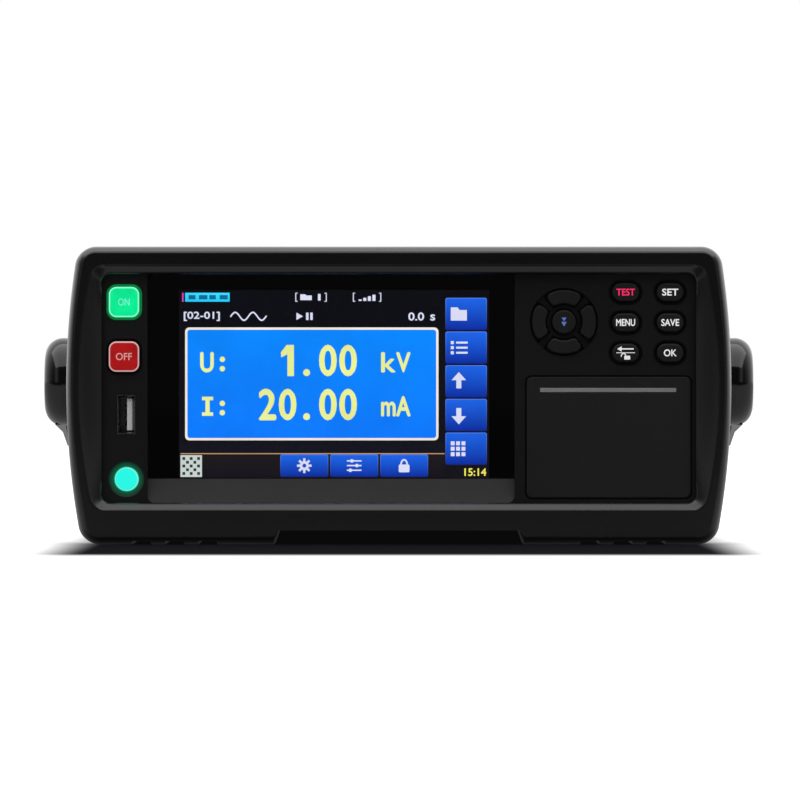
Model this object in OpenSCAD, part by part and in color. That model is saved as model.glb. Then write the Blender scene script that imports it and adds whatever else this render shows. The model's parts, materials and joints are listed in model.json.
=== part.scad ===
// Bench hipot tester: rubber-cornered case with a recessed colour display, lit start and stop keys,
// a rubber keypad, a swing handle that also props the front up, and a rear connector panel.
// Millimetres. X is right, Y is back, Z is up. The origin is on the table, under the middle of the case.

/* [Case] */
// Depth over both bumpers
overall_d = 360; // [340:1:420]
// Gap between the table and the underside of the case
foot_h = 10.5; // [10:0.5:14]
// Thickness of the folded case sheet
sheet_t = 1.2; // [1:0.1:1.5]
// Outer bend radius of the case
case_r = 4; // [3:0.5:6]
// How far the case reaches past the panel opening at each side
lip_side = 2.4; // [2:0.1:4]
// How far the case reaches below the panel opening
lip_bottom = 4.2; // [3.5:0.1:6]
// How far the case reaches above the panel opening
lip_top = 4.3; // [3.5:0.1:6]
// Thickness of the rear panel
rear_t = 1.5; // [1.2:0.1:2]
// Length of a vent slot
vent_len = 30; // [20:1:40]
// Width of a vent slot
vent_w = 3; // [2:0.5:4]
// Spacing of the vent slots
vent_pitch = 6; // [5:0.5:8]
// Height of the tray's side flanges
flange_h = 14; // [12:1:20]

/* [Bumpers] */
// Rubber outside the case at each side, measured at the corners
bumper_side_t = 5.5; // [4.5:0.1:7]
// Rubber above the case
bumper_top_t = 5.5; // [4.5:0.1:7]
// How far the sides bulge at their widest
bumper_bow = 4.8; // [2:0.1:6]
// How far above mid height the sides are widest
bow_up = 3.5; // [0:0.5:6]
// Corner radius of the outline
bumper_r = 6.3; // [5.5:0.1:8]
// How far the rounded rim reaches inwards
rim_in = 2.7; // [2:0.1:3.6]
// How far the rounded rim reaches back
rim_d = 7; // [3:0.1:9]
// Length of the front bumper
front_len = 48; // [40:1:60]
// Length of the rear bumper
rear_len = 46; // [40:1:60]
// Width of the inner bevel at the top
bevel_top = 3.1; // [2:0.1:3.4]
// Width of the inner bevel at the bottom
bevel_low = 2.4; // [2:0.1:3.4]
// From the outline in to the inner bevel at the sides
bevel_side = 5.2; // [4.6:0.1:6]
// Bulge of the inner bevel at the sides
bevel_bow = 5; // [2:0.1:5.4]
// Depth of the front bevel
bevel_d = 3.7; // [2.5:0.1:5]
// Depth of the rear recess
rear_bevel_d = 13.2; // [12.5:0.1:16]
// Thickness of the rubber lip over the panel edge
lip_t = 0.8; // [0.6:0.1:1.2]
// Clearance between rubber and case
bumper_gap = 0.15; // [0.1:0.05:0.3]
// Width of the cut-out between the feet
foot_cut_w = 85; // [60:1:100]
// Height of the cut-out between the feet
foot_cut_h = 5; // [3:0.5:6]
// Width of a tread notch
tread_w = 6.6; // [5:0.1:8]
// Height of a tread notch
tread_h = 1.3; // [1:0.1:2]
// Spacing of the tread notches
tread_pitch = 11.75; // [10:0.05:12]
// Outermost tread notch, from the end of the bumper
tread_end = 21.3; // [20:0.1:26]

/* [Front panel] */
// Width of the strip with the start, stop and power keys
strip_w = 16; // [15.6:0.1:22]
// Width of the display recess
recess_w = 129.4; // [126:0.2:150]
// Width of the keypad zone
keyzone_w = 63.8; // [62:0.2:80]
// Height of the display window
lens_h = 72.1; // [70.5:0.1:84]
// Height of the sloping ledge below the window
ramp_h = 8.4; // [6:0.1:12]
// Depth from the panel face to the window face
recess_d = 6; // [4:0.5:8]
// Thickness of the panel moulding
panel_t = 3; // [2.6:0.1:4]
// Thickness of the moulding's skirt
skirt_t = 2; // [1.6:0.1:2.5]
// Thickness of the window
lens_t = 2; // [1:0.1:3]
// Width of the lit display area
lcd_w = 108; // [100:0.2:112]
// Height of the lit display area
lcd_h = 64.8; // [60:0.2:66]
// Thickness of the display module
lcd_t = 4.9; // [4:0.1:7]
// Border of the display module round its lit area
lcd_edge = 5; // [3:0.1:6]
// Depth of the pocket for the blank plate
pocket_d = 1.8; // [1.4:0.1:2]
// Height of the keypad zone above the blank plate
keypad_h = 35.5; // [35:0.1:42]
// Length of the grey trim strip
trim_w = 48; // [30:0.5:52]
// Height of the grey trim strip
trim_h = 1.5; // [1:0.1:3]

/* [Keys] */
// Side of the start and stop keys
square_key = 10.7; // [10:0.1:12]
// Clear rim round the cap of a start or stop key
square_rim = 0.45; // [0.4:0.05:1]
// Corner radius of the start and stop keys
square_r = 2.7; // [2.2:0.1:4]
// Gap of light round the start and stop keys
square_gap = 0.95; // [0.4:0.05:1.1]
// Height of the square keys above the panel
square_proud = 1.8; // [1:0.1:2.5]
// Drop from the start key to the stop key
square_pitch = 19.2; // [17:0.1:20]
// Diameter of the power button
power_d = 8.2; // [7:0.1:9]
// Diameter of the dished ring round the power button
power_dish_d = 12.6; // [11:0.1:14]
// Length of an oval key
oval_w = 9.6; // [9:0.1:11]
// Height of an oval key
oval_h = 6.6; // [5.5:0.1:7]
// Column spacing of the oval keys
oval_pitch_x = 15.7; // [15.2:0.1:17]
// Row spacing of the oval keys
oval_pitch_z = 10.7; // [10.4:0.1:11]
// Height of the rubber keys above the panel
key_proud = 1.1; // [0.6:0.1:1.8]
// Depth of the wells that the rubber keys stand in
well_d = 1.5; // [0.6:0.1:1.8]
// Width of the well round an oval key
well_w = 1.2; // [0.8:0.1:1.4]
// Radius of the well round the direction keys
pad_r = 12; // [11.8:0.1:13]
// Outer radius of the direction keys
arc_r1 = 11.3; // [11:0.1:11.5]
// Inner radius of the direction keys
arc_r0 = 6.5; // [6:0.1:6.8]
// Corner radius of a direction key
arc_round = 1.7; // [0.8:0.1:2]
// Half angle of a direction key
arc_half = 36; // [30:1:37]
// Radius of the centre key
center_r = 4.2; // [3.5:0.1:4.4]
// Travel of the rubber keys
key_travel = 1.2; // [0.8:0.1:1.4]
// Travel of the start, stop and power keys
square_travel = 1.5; // [1:0.1:1.7]
// Running clearance round a key
key_gap = 0.5; // [0.3:0.05:0.6]

/* [Handle] */
// Hub position behind the front rim
hub_back = 85; // [80:1:110]
// Height of the hub axis above the table
hub_z = 57.5; // [54:0.5:62]
// Radius of the hub cover
hub_r = 16; // [15:0.5:18]
// Distance from the hub axis to the grip
arm_len = 165; // [155:1:180]
// Thickness of the handle strap
strap_t = 3; // [2.5:0.1:4]
// Half width of the hub cover's tail at its end
tail_half = 12.6; // [12:0.1:13.5]
// Clearance from bumper to strap
strap_gap = 1.2; // [1:0.1:3]
// How far the hub cover's tail stands out from the strap where it begins
tail_out = 3.6; // [3:0.1:4.5]
// How far the hub cover stands out from the strap
hub_out = 7; // [6:0.1:9]
// Radius of the hub cover's rounded edge
hub_edge = 6.5; // [4:0.1:7]
// Width of the rubber grip
grip_w = 26; // [20:1:30]
// Thickness of the rubber grip
grip_t = 8; // [6:0.1:8]
// Length of the rubber grip
grip_len = 150; // [100:1:190]
// Thickness of the flat bar in the grip
bar_t = 4; // [3:0.1:5]
// Diameter of the pivot shoulder
pivot_d = 8; // [7:0.1:9]

/* [Rear panel] */
// Size of the fan frame
fan_w = 60; // [56:1:62]
// Depth of the fan frame
fan_t = 25; // [20:1:28]
// Fan centre to the right of the middle
fan_x = 20; // [17:1:24]
// Width of the mains inlet flange
inlet_w = 30; // [28:0.5:34]
// Height of the mains inlet flange
inlet_h = 46; // [44:0.5:50]
// Depth of the inlet body
inlet_d = 24; // [22:0.5:28]
// How far the fuse drawer pulls out
drawer_travel = 11; // [8:0.5:12]
// Diameter of the test socket flange
socket_d = 22; // [18:0.5:24]
// Bore of the test sockets
socket_bore = 4.1; // [4:0.1:5]

/* [Hidden] */
$fn = 48;

// Overlap that makes a cut clean
cut = 1;
// Clearance of a fixed joint
fit = 0.1;

// Panel opening and case
opening_w = strip_w + recess_w + keyzone_w;
opening_h = ramp_h + lens_h;
open_x0 = -opening_w / 2;
open_x1 = opening_w / 2;
open_z0 = foot_h + lip_bottom;
open_z1 = open_z0 + opening_h;
case_w = opening_w + 2 * lip_side;
case_h = opening_h + lip_bottom + lip_top;
case_z1 = foot_h + case_h;
bumper_half = case_w / 2 + bumper_side_t;
bumper_h = case_z1 + bumper_top_t;

// Layers from the front to the back
front_y = -overall_d / 2;
rear_y = overall_d / 2;
panel_y = front_y + bevel_d + lip_t;
panel_back = panel_y + panel_t;
lens_y = panel_y + recess_d;
floor_y = lens_y + lens_t;
floor_t = 1.6;
lcd_y = floor_y + floor_t;
board_y = lcd_y + lcd_t;
board_t = 1.6;
skirt_y = board_y + board_t + 2;
rear_out = rear_y - rear_bevel_d - lip_t;
rear_in = rear_out - rear_t;
case_y0 = skirt_y + fit;
case_y1 = rear_in - fit;

// Display
recess_x0 = open_x0 + strip_w;
recess_x1 = recess_x0 + recess_w;
ledge_z = open_z0 + ramp_h;
ledge_r = 2.5;
lcd_x = (recess_x0 + recess_x1) / 2 + 1;
lcd_z = ledge_z + 1.1 + lcd_h / 2;
tub_t = 1.4;

// Key layout
strip_x = open_x0 + strip_w / 2 - 0.2;
start_z = open_z1 - 9.8;
stop_z = start_z - square_pitch;
power_x = strip_x + 0.8;
power_z = open_z0 + 8.3;
usb_x = strip_x + 0.7;
usb_z = power_z + 22.8;
usb_w = 5.8;
usb_h = 13.2;
usb_wall = 0.4;
usb_flare = 0.4;
usb_flare_d = 0.8;
usb_lip_y = panel_y + 0.2;
usb_back = 0.35;
usb_tongue_t = 1.84;
usb_tongue_h = 11.1;
pad_x = recess_x1 + 17.4;
pad_z = open_z1 - 16.8;
oval_x1 = open_x1 - 9;
oval_z0 = open_z1 - 6.3;
function oval_x(col) = oval_x1 - (1 - col) * oval_pitch_x;
function oval_z(row) = oval_z0 - row * oval_pitch_z;

// Behind the keys
flange_y = panel_back + fit;
flange_t = 1;
mat_t = 1.4;
switch_y = board_y - 8;
key_stop = fit + 0.05;

// Where each small switch sits behind its key
arc_mid = (arc_r0 + arc_r1) / 2;
switch_at = concat(
  [[strip_x, start_z], [strip_x, stop_z], [pad_x, pad_z]],
  [for (a = [0:90:270]) [pad_x + arc_mid * sin(a), pad_z + arc_mid * cos(a)]],
  [for (col = [0, 1], row = [0:2]) [oval_x(col), oval_z(row)]]
);

// Blank plate
pocket_x0 = recess_x1 + 3.6;
pocket_x1 = open_x1 - 1.1;
pocket_z0 = open_z0 + 1.1;
pocket_z1 = open_z1 - keypad_h;
pocket_r = 2.6;
pocket_gap = 0.6;
plate_t = pocket_d - 0.3;
trim_x = (pocket_x0 + pocket_x1) / 2 - 0.2;
trim_z = pocket_z1 - 5.3;

// Posts that hold the front board
boss_d = 5.6;
boss_at = [
  [strip_x, (stop_z + usb_z) / 2],
  [pocket_x0 + 8, pocket_z0 + 6],
  [pocket_x1 - 8, pocket_z0 + 6],
  [pocket_x0 + 8, pocket_z1 - 12],
  [pocket_x1 - 8, pocket_z1 - 12]
];

// Handle, drawn lying under the case
hub_y = front_y + hub_back;
strap_x0 = bumper_half + bumper_bow + strap_gap;
strap_x1 = strap_x0 + strap_t;
grip_z = foot_h / 2;
arm_drop = asin((hub_z - grip_z) / arm_len);
grip_y = hub_y + arm_len * cos(arm_drop);
hub_eye = hub_r - 3;
tail_len = 36;
boss_out = strap_x0 - 0.5;
head_d = 14;
head_t = 3;
bar_w = grip_w - 6;

// Rear panel layout
fan_z = foot_h + case_h / 2 + 2;
fan_bore = fan_w - 3;
fan_y0 = rear_in - fit - fan_t;
guard_reach = (fan_w / 2 - 5) * sqrt(2);
inlet_x = case_w / 2 - 28;
inlet_z = foot_h + 31;
cavity_z = inlet_z + 6.5;
drawer_z = inlet_z - 13;
drawer_w = 22;
drawer_h = 9;
output_x = -case_w / 2 + 25;
return_x = output_x + 30;
socket_z = case_z1 - 27;
earth_x = return_x + 26;
earth_z = socket_z;
serial_w = 17;
serial_x = inlet_x;
serial_z = case_z1 - 17;
handler_w = 39;
handler_x = (output_x + return_x) / 2 + 4;
handler_z = foot_h + 18;

// Inner boards
tray_top = foot_h + sheet_t;
post_h = 8;
pcb_z = tray_top + post_h;
pcb_t = 1.6;
main_x0 = 2;
main_x1 = case_w / 2 - 11;
main_y0 = case_y0 + 22;
main_len = 140;
main_y1 = main_y0 + main_len;
supply_x0 = 28;
supply_x1 = case_w / 2 - 12;
supply_y0 = main_y1 + 8;
supply_y1 = fan_y0 - 9;
hv_x0 = -case_w / 2 + 14;
hv_x1 = -18;
hv_y0 = case_y0 + 68;
hv_y1 = hv_y0 + 100;
core_x = (hv_x0 + hv_x1) / 2;
core_y = hv_y1 + 48;
core_w = 76;
core_l = 40;
coil_r = 6;
core_h = 64;
sink_x = core_x;
sink_y = case_y0 + 40;
sink_w = 74;
sink_l = 44;
sink_h = 56;
post_in = 4.5;
part_h = 10;
link_y = main_y0 + 12;
link_w = 34;
link_h = 7;
function corners(x0, x1, y0, y1) = [
  [x0 + post_in, y0 + post_in],
  [x1 - post_in, y0 + post_in],
  [x0 + post_in, y1 - post_in],
  [x1 - post_in, y1 - post_in]
];
post_at = concat(
  corners(main_x0, main_x1, main_y0, main_y1),
  corners(supply_x0, supply_x1, supply_y0, supply_y1),
  corners(hv_x0, hv_x1, hv_y0, hv_y1)
);
screw_d = 2.9;
screw_hole = 3.2;
screw_head = 5.6;
cover_screw_y = [case_y0 + 45, 0, case_y1 - 50];
cover_screw_z = foot_h + flange_h - 5;
rear_screw_at = [
  [-case_w / 2 + 9, foot_h + 9],
  [case_w / 2 - 9, foot_h + 9],
  [-case_w / 2 + 9, case_z1 - 9],
  [case_w / 2 - 9, case_z1 - 9],
  [-8, foot_h + 9]
];

// Colours
rubber = "#1b1b1c";
paint = "#2a2b2d";
black = "#141415";
gloss = "#0c0c0d";
steel = "#b4b6b8";
board = "#1d5a34";

// A shape drawn in X and Z, drawn out from y0 to y1
module along_y(y0, y1) {
  translate([0, y1, 0])
    rotate([90, 0, 0])
      linear_extrude(y1 - y0)
        children();
}

// A shape drawn in Y and Z, drawn out from x0 to x1
module along_x(x0, x1) {
  translate([x0, 0, 0])
    rotate([90, 0, 90])
      linear_extrude(x1 - x0)
        children();
}

// A profile of radius and height, turned about an axis that points to the front
module turned(x, y, z) {
  translate([x, y, z])
    rotate([90, 0, 0])
      rotate_extrude()
        children();
}

// A profile of radius and height, turned about an axis that points to the right
module turned_x(x, y, z) {
  translate([x, y, z])
    rotate([0, 90, 0])
      rotate_extrude()
        children();
}

// A rectangle with round corners
module rrect(w, h, r) {
  square([w, h - 2 * r], center = true);
  square([w - 2 * r, h], center = true);
  for (sx = [-1, 1], sz = [-1, 1])
    translate([sx * (w / 2 - r), sz * (h / 2 - r)])
      circle(r);
}

// A rectangle given by its edges
module edges(x0, x1, z0, z1) {
  translate([x0, z0])
    square([x1 - x0, z1 - z0]);
}

// A bar with round ends
module stadium(w, h) {
  square([w - h, h], center = true);
  for (s = [-1, 1])
    translate([s * (w - h) / 2, 0])
      circle(h / 2);
}

// The case seen from the front, grown or shrunk
module case_outline(grow) {
  translate([0, foot_h + case_h / 2])
    rrect(case_w + 2 * grow, case_h + 2 * grow, case_r + grow);
}

// Half of a key's section, with a rounded upper edge
module half_crown(r, h, er) {
  square([r, h - er]);
  square([r - er, h]);
  translate([r - er, h - er])
    intersection() {
      circle(er);
      square(er);
    }
}

// A key's whole section, with rounded upper edges
module crown(w, h, er) {
  translate([-w / 2, 0])
    square([w, h - er]);
  translate([-w / 2 + er, 0])
    square([w - 2 * er, h]);
  for (s = [-1, 1])
    translate([s * (w / 2 - er), h - er])
      circle(er);
}

// A key with round corners and a soft front edge, from y1 out to y0
module soft_pad(x, z, w, h, r, y0, y1, er) {
  len = y1 - y0;
  for (sx = [-1, 1], sz = [-1, 1])
    turned(x + sx * (w / 2 - r), y1, z + sz * (h / 2 - r))
      half_crown(r, len, er);
  if (w > 2 * r)
    along_x(x - w / 2 + r, x + w / 2 - r)
      translate([y1, z])
        rotate(90)
          crown(h, len, er);
  if (h > 2 * r + 0.01)
    translate([x, y1, z - h / 2 + r])
      linear_extrude(h - 2 * r)
        rotate(180)
          crown(w, len, er);
}

// A wedge from the centre, half an angle either side of straight up
module wedge(half, r) {
  polygon([[0, 0], [r * sin(half), r * cos(half)], [0, r / cos(half)], [-r * sin(half), r * cos(half)]]);
}

// Part of a ring, half an angle either side of straight up
module ring_part(r0, r1, half) {
  intersection() {
    difference() {
      circle(r1);
      circle(r0);
    }
    wedge(half, r1 * 1.1);
  }
}

// The plan of a direction key with round corners, drawn in by an inset
module arc_plan(inset) {
  offset(r = arc_round - inset, $fn = 24)
    offset(delta = -arc_round)
      ring_part(arc_r0, arc_r1, arc_half, $fn = 36);
}

// A straight-sided outline that touches two circles, the second at distance d along the first axis
module tangent_strip(ra, rb, d) {
  lean = asin((ra - rb) / d);
  polygon([
    [ra * sin(lean), ra * cos(lean)],
    [d + rb * sin(lean), rb * cos(lean)],
    [d + rb * sin(lean), -rb * cos(lean)],
    [ra * sin(lean), -ra * cos(lean)]
  ]);
}

// Points of the rubber outline: corner arcs, evenly divided sides, and a foot line with its notches
corner_n = 6;
side_n = 10;
function arc_pts(cx, cz, r, a0) = [
  for (i = [0:corner_n])
    let (a = a0 + 90 * i / corner_n)
      [cx + r * cos(a), cz + r * sin(a)]
];
function between(p, q, n) = [for (i = [1:n - 1]) p + (q - p) * i / n];
function tread_x(i) = bumper_half - tread_end - i * tread_pitch;
half_foot = concat(
  [[foot_cut_w / 2, foot_cut_h], [foot_cut_w / 2 + 1.8, 0]],
  [
    for (i = [2:-1:0])
      each [
        [tread_x(i) - tread_w / 2 - 0.15, 0],
        [tread_x(i) - tread_w / 2 + 0.15, tread_h],
        [tread_x(i) + tread_w / 2 - 0.15, tread_h],
        [tread_x(i) + tread_w / 2 + 0.15, 0]
      ]
  ]
);
foot_n = len(half_foot);
foot_line = concat(
  [for (i = [foot_n - 1:-1:0]) [-half_foot[i].x, half_foot[i].y]],
  half_foot
);

// One closed loop at depth y: half width at the corners, bulge, bottom, top and corner radius;
// outer is 1 on the outside, which has the feet and the raised bulge, and 0 elsewhere
function loop(y, half, bow, z0, z1, r, outer) =
  let (
    zc = (z0 + z1) / 2,
    zh = (z1 - z0) / 2,
    right_low = [half, z0 + r],
    right_high = [half, z1 - r],
    flat = concat(
      [for (p = foot_line) [p.x, z0]],
      arc_pts(half - r, z0 + r, r, -90),
      between(right_low, right_high, side_n),
      arc_pts(half - r, z1 - r, r, 0),
      arc_pts(r - half, z1 - r, r, 90),
      between([-half, z1 - r], [-half, z0 + r], side_n),
      arc_pts(r - half, z0 + r, r, 180)
    )
  )
  [
    for (i = [0:len(flat) - 1])
      let (
        p = flat[i],
        u = (p.y - zc - outer * bow_up) / zh,
        cut_up = i < 2 * foot_n ? max(foot_line[i].y - z0, 0) : 0
      )
        [p.x * (1 + bow / half * (1 - u * u)), y, p.y + outer * cut_up]
  ];

// The outer outline, drawn in by an inset
function outer_loop(inset, y) =
  loop(y, bumper_half - inset, bumper_bow, inset, bumper_h - inset, bumper_r - inset, 1);

// A rubber bumper, front rim first, in loops that run round its whole section
module bumper(len_y, recess) {
  bevel_half = bumper_half - bevel_side;
  soft = 0.4;
  seat = case_w / 2 + bumper_gap;
  seat_y = front_y + recess + lip_t - fit;
  back_y = front_y + len_y;
  loops = concat(
    [outer_loop(1.2, back_y), outer_loop(0.35, back_y - 0.35), outer_loop(0, back_y - 1.2)],
    [for (a = [0:18:90]) outer_loop(rim_in * (1 - cos(a)), front_y + rim_d * (1 - sin(a)))],
    [
      loop(front_y, bevel_half + soft, bevel_bow, open_z0 - bevel_low - soft, open_z1 + bevel_top + soft, 4.4, 0),
      loop(front_y + 0.3, bevel_half, bevel_bow, open_z0 - bevel_low, open_z1 + bevel_top, 4, 0),
      loop(front_y + recess, open_x1, 0, open_z0, open_z1, 3, 0),
      loop(seat_y, open_x1, 0, open_z0, open_z1, 3, 0),
      loop(seat_y, seat, 0, foot_h - bumper_gap, case_z1 + bumper_gap, case_r + bumper_gap, 0),
      loop(back_y, seat, 0, foot_h - bumper_gap, case_z1 + bumper_gap, case_r + bumper_gap, 0)
    ]
  );
  m = len(loops);
  n = len(loops[0]);
  polyhedron(
    points = [for (l = loops) each l],
    faces = [
      for (k = [0:m - 1], i = [0:n - 1])
        let (
          j = (i + 1) % n,
          k2 = (k + 1) % m
        )
          each [
            [k * n + i, k * n + j, k2 * n + j],
            [k * n + i, k2 * n + j, k2 * n + i]
          ]
    ]
  );
}

module front_bumper() {
  color(rubber)
    bumper(front_len, bevel_d);
}

module rear_bumper() {
  color(rubber)
    mirror([0, 1, 0])
      bumper(rear_len, rear_bevel_d);
}

// Folded sheet over the top and both sides
module top_cover() {
  color(paint)
    difference() {
      along_y(case_y0, case_y1)
        difference() {
          case_outline(0);
          case_outline(-sheet_t);
          edges(-case_w / 2 + sheet_t, case_w / 2 - sheet_t, foot_h - cut, case_z1 - case_r);
          edges(-case_w / 2 - cut, case_w / 2 + cut, foot_h - cut, foot_h + case_r);
        }
      for (i = [0:10])
        along_x(-case_w / 2 - cut, case_w / 2 + cut)
          translate([case_y1 - 58 - i * vent_pitch, foot_h + case_h / 2 + 10])
            rotate(90)
              stadium(vent_len, vent_w);
      along_x(-case_w / 2 - cut, case_w / 2 + cut) {
        translate([hub_y, hub_z])
          circle(d = pivot_d - 1.8);
        for (y = cover_screw_y)
          translate([y, cover_screw_z])
            circle(d = screw_hole);
      }
    }
}

// Bottom sheet with side flanges just inside the cover
module chassis_tray() {
  half = case_w / 2 - sheet_t - bumper_gap;
  color(paint)
    difference() {
      along_y(case_y0, case_y1)
        intersection() {
          case_outline(0);
          union() {
            edges(-half, half, foot_h, tray_top);
            for (s = [-1, 1])
              translate([s * (half - sheet_t / 2), foot_h + flange_h / 2])
                square([sheet_t, flange_h], center = true);
          }
        }
      for (s = [-1, 1], i = [0:6])
        translate([s * 48, case_y1 - 72 - i * vent_pitch, foot_h - cut])
          linear_extrude(sheet_t + 2 * cut)
            stadium(vent_len, vent_w);
      along_x(-case_w / 2, case_w / 2)
        for (y = cover_screw_y)
          translate([y, cover_screw_z])
            circle(d = screw_hole);
    }
}

// The holes that the keys and the socket show through
module key_holes() {
  for (z = [start_z, stop_z])
    along_y(panel_y - cut, panel_back + cut)
      translate([strip_x, z])
        rrect(square_key + 2 * square_gap, square_key + 2 * square_gap, square_r + square_gap);
  along_y(panel_y - cut, panel_back + cut) {
    translate([usb_x, usb_z])
      rrect(usb_w + 2 * usb_flare + 0.4, usb_h + 2 * usb_flare + 0.4, 0.6);
    translate([power_x, power_z])
      circle(d = power_d + 2 * key_gap);
    translate([pad_x, pad_z]) {
      circle(center_r + key_gap);
      for (a = [0:90:270])
        rotate(a)
          ring_part(arc_r0 - key_gap, arc_r1 + key_gap, arc_half + 2.8);
    }
    for (col = [0, 1], row = [0:2])
      translate([oval_x(col), oval_z(row)])
        stadium(oval_w + 2 * key_gap, oval_h + 2 * key_gap);
  }
  translate([power_x, panel_y + 1.6, power_z])
    rotate([90, 0, 0])
      cylinder(h = 1.6 + cut, d1 = power_d + 2 * key_gap, d2 = power_dish_d + 2);
  along_y(panel_y - cut, panel_y + well_d) {
    translate([pad_x, pad_z])
      circle(pad_r);
    for (col = [0, 1], row = [0:2])
      translate([oval_x(col), oval_z(row)])
        stadium(oval_w + 2 * well_w, oval_h + 2 * well_w);
  }
}

// Front moulding: plate, skirt, display tub and the posts of the front board
module front_bezel() {
  color(black)
    difference() {
      union() {
        along_y(panel_y, panel_back)
          case_outline(0);
        along_y(panel_y, skirt_y)
          difference() {
            case_outline(0);
            case_outline(-skirt_t);
          }
        along_y(panel_y, lcd_y)
          edges(recess_x0 - tub_t, recess_x1 + tub_t, open_z0 - tub_t, open_z1 + tub_t);
        along_y(panel_back - 0.5, board_y)
          for (p = boss_at)
            translate(p)
              circle(d = boss_d);
      }
      intersection() {
        along_x(recess_x0, recess_x1)
          polygon([
            [panel_y - cut, open_z0 - cut * ramp_h / recess_d],
            [lens_y, ledge_z],
            [floor_y, ledge_z],
            [floor_y, open_z1],
            [panel_y - cut, open_z1]
          ]);
        along_y(panel_y - cut, floor_y + cut) {
          edges(recess_x0, recess_x1, open_z0 + ledge_r, open_z1);
          edges(recess_x0 + ledge_r, recess_x1 - ledge_r, open_z0, open_z1);
          for (x = [recess_x0 + ledge_r, recess_x1 - ledge_r])
            translate([x, open_z0 + ledge_r])
              circle(ledge_r);
        }
      }
      along_y(lens_y, lcd_y + cut)
        translate([lcd_x, lcd_z])
          square([lcd_w + 1.6, lcd_h + 1.6], center = true);
      along_y(panel_y - cut, panel_y + pocket_d)
        translate([(pocket_x0 + pocket_x1) / 2, (pocket_z0 + pocket_z1) / 2])
          rrect(pocket_x1 - pocket_x0, pocket_z1 - pocket_z0, pocket_r);
      along_y(panel_back + 0.5, board_y + cut)
        for (p = boss_at)
          translate(p)
            circle(d = screw_d + 2 * fit);
      key_holes();
    }
}

module display_window() {
  color("#0a0a0c")
    along_y(lens_y, floor_y)
      edges(recess_x0 + fit, recess_x1 - fit, ledge_z + fit, open_z1 - fit);
}

module lcd_module() {
  color("#10182c")
    along_y(lcd_y, board_y)
      translate([lcd_x, lcd_z])
        rrect(lcd_w + 2 * lcd_edge, lcd_h + 2 * lcd_edge - 3, 1);
}

module blank_panel() {
  y0 = panel_y + pocket_d - plate_t;
  color(black)
    difference() {
      along_y(y0, panel_y + pocket_d)
        translate([(pocket_x0 + pocket_x1) / 2, (pocket_z0 + pocket_z1) / 2])
          rrect(
            pocket_x1 - pocket_x0 - 2 * pocket_gap,
            pocket_z1 - pocket_z0 - 2 * pocket_gap,
            pocket_r - pocket_gap
          );
      along_y(y0 - cut, y0 + 0.6)
        translate([trim_x, trim_z])
          square([trim_w + 2 * fit, trim_h + 2 * fit], center = true);
    }
}

module trim_strip() {
  y0 = panel_y + pocket_d - plate_t;
  color("#7d8084")
    along_y(y0 - 0.2, y0 + 0.6)
      translate([trim_x, trim_z])
        square([trim_w, trim_h], center = true);
}

// Rubber sheet behind the keypad, cut away round each key's flange
module keypad_mat() {
  color(rubber)
    along_y(flange_y, flange_y + mat_t)
      difference() {
        edges(recess_x1 + tub_t + 0.6, case_w / 2 - skirt_t - 1.2, pocket_z1 + 0.6, open_z1 + 1.2);
        translate([pad_x, pad_z])
          circle(arc_r1 + 1.9);
        for (col = [0, 1], row = [0:2])
          translate([oval_x(col), oval_z(row)])
            stadium(oval_w + 3.4, oval_h + 3.4);
      }
}

module front_board() {
  color(board)
    along_y(board_y, board_y + board_t)
      difference() {
        case_outline(-skirt_t - 0.6);
        for (p = boss_at)
          translate(p)
            circle(d = screw_hole);
      }
}

module tact_switches() {
  color("#3a3a3c")
    for (p = switch_at) {
      along_y(board_y - 3.5, board_y)
        translate(p)
          square(5.4, center = true);
      along_y(switch_y, board_y - 3.5)
        translate(p)
          circle(d = 3.4);
    }
}

// Flared mouth of the socket's shell, on its outside or a wall's thickness in
module usb_mouth(inset, reach) {
  w = usb_w - 2 * inset;
  h = usb_h - 2 * inset;
  grow = 2 * usb_flare * reach / usb_flare_d;
  translate([usb_x, usb_lip_y + usb_flare_d, usb_z])
    rotate([90, 0, 0])
      linear_extrude(reach, slices = 1, scale = [1 + grow / w, 1 + grow / h], $fn = 4)
        square([w, h], center = true);
}

module usb_shell() {
  color(steel)
    difference() {
      union() {
        along_y(usb_lip_y + 0.5 * usb_flare_d, board_y)
          translate([usb_x, usb_z])
            rrect(usb_w, usb_h, 0.5);
        usb_mouth(0, usb_flare_d);
      }
      along_y(usb_lip_y - cut, board_y - 1)
        translate([usb_x, usb_z])
          square([usb_w - 2 * usb_wall, usb_h - 2 * usb_wall], center = true);
      usb_mouth(usb_wall, usb_flare_d + cut);
    }
}

module usb_tongue() {
  color("#e6e6e2")
    along_y(panel_y + 1.8, board_y - 1)
      translate([usb_x + usb_w / 2 - usb_wall - usb_back - usb_tongue_t / 2, usb_z])
        square([usb_tongue_t, usb_tongue_h], center = true);
}

module power_switch() {
  color("#3a3a3c") {
    along_y(board_y - 5, board_y)
      translate([power_x, power_z])
        square(8, center = true);
    along_y(switch_y, board_y - 5)
      translate([power_x, power_z])
        circle(d = 3.4);
  }
}

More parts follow.
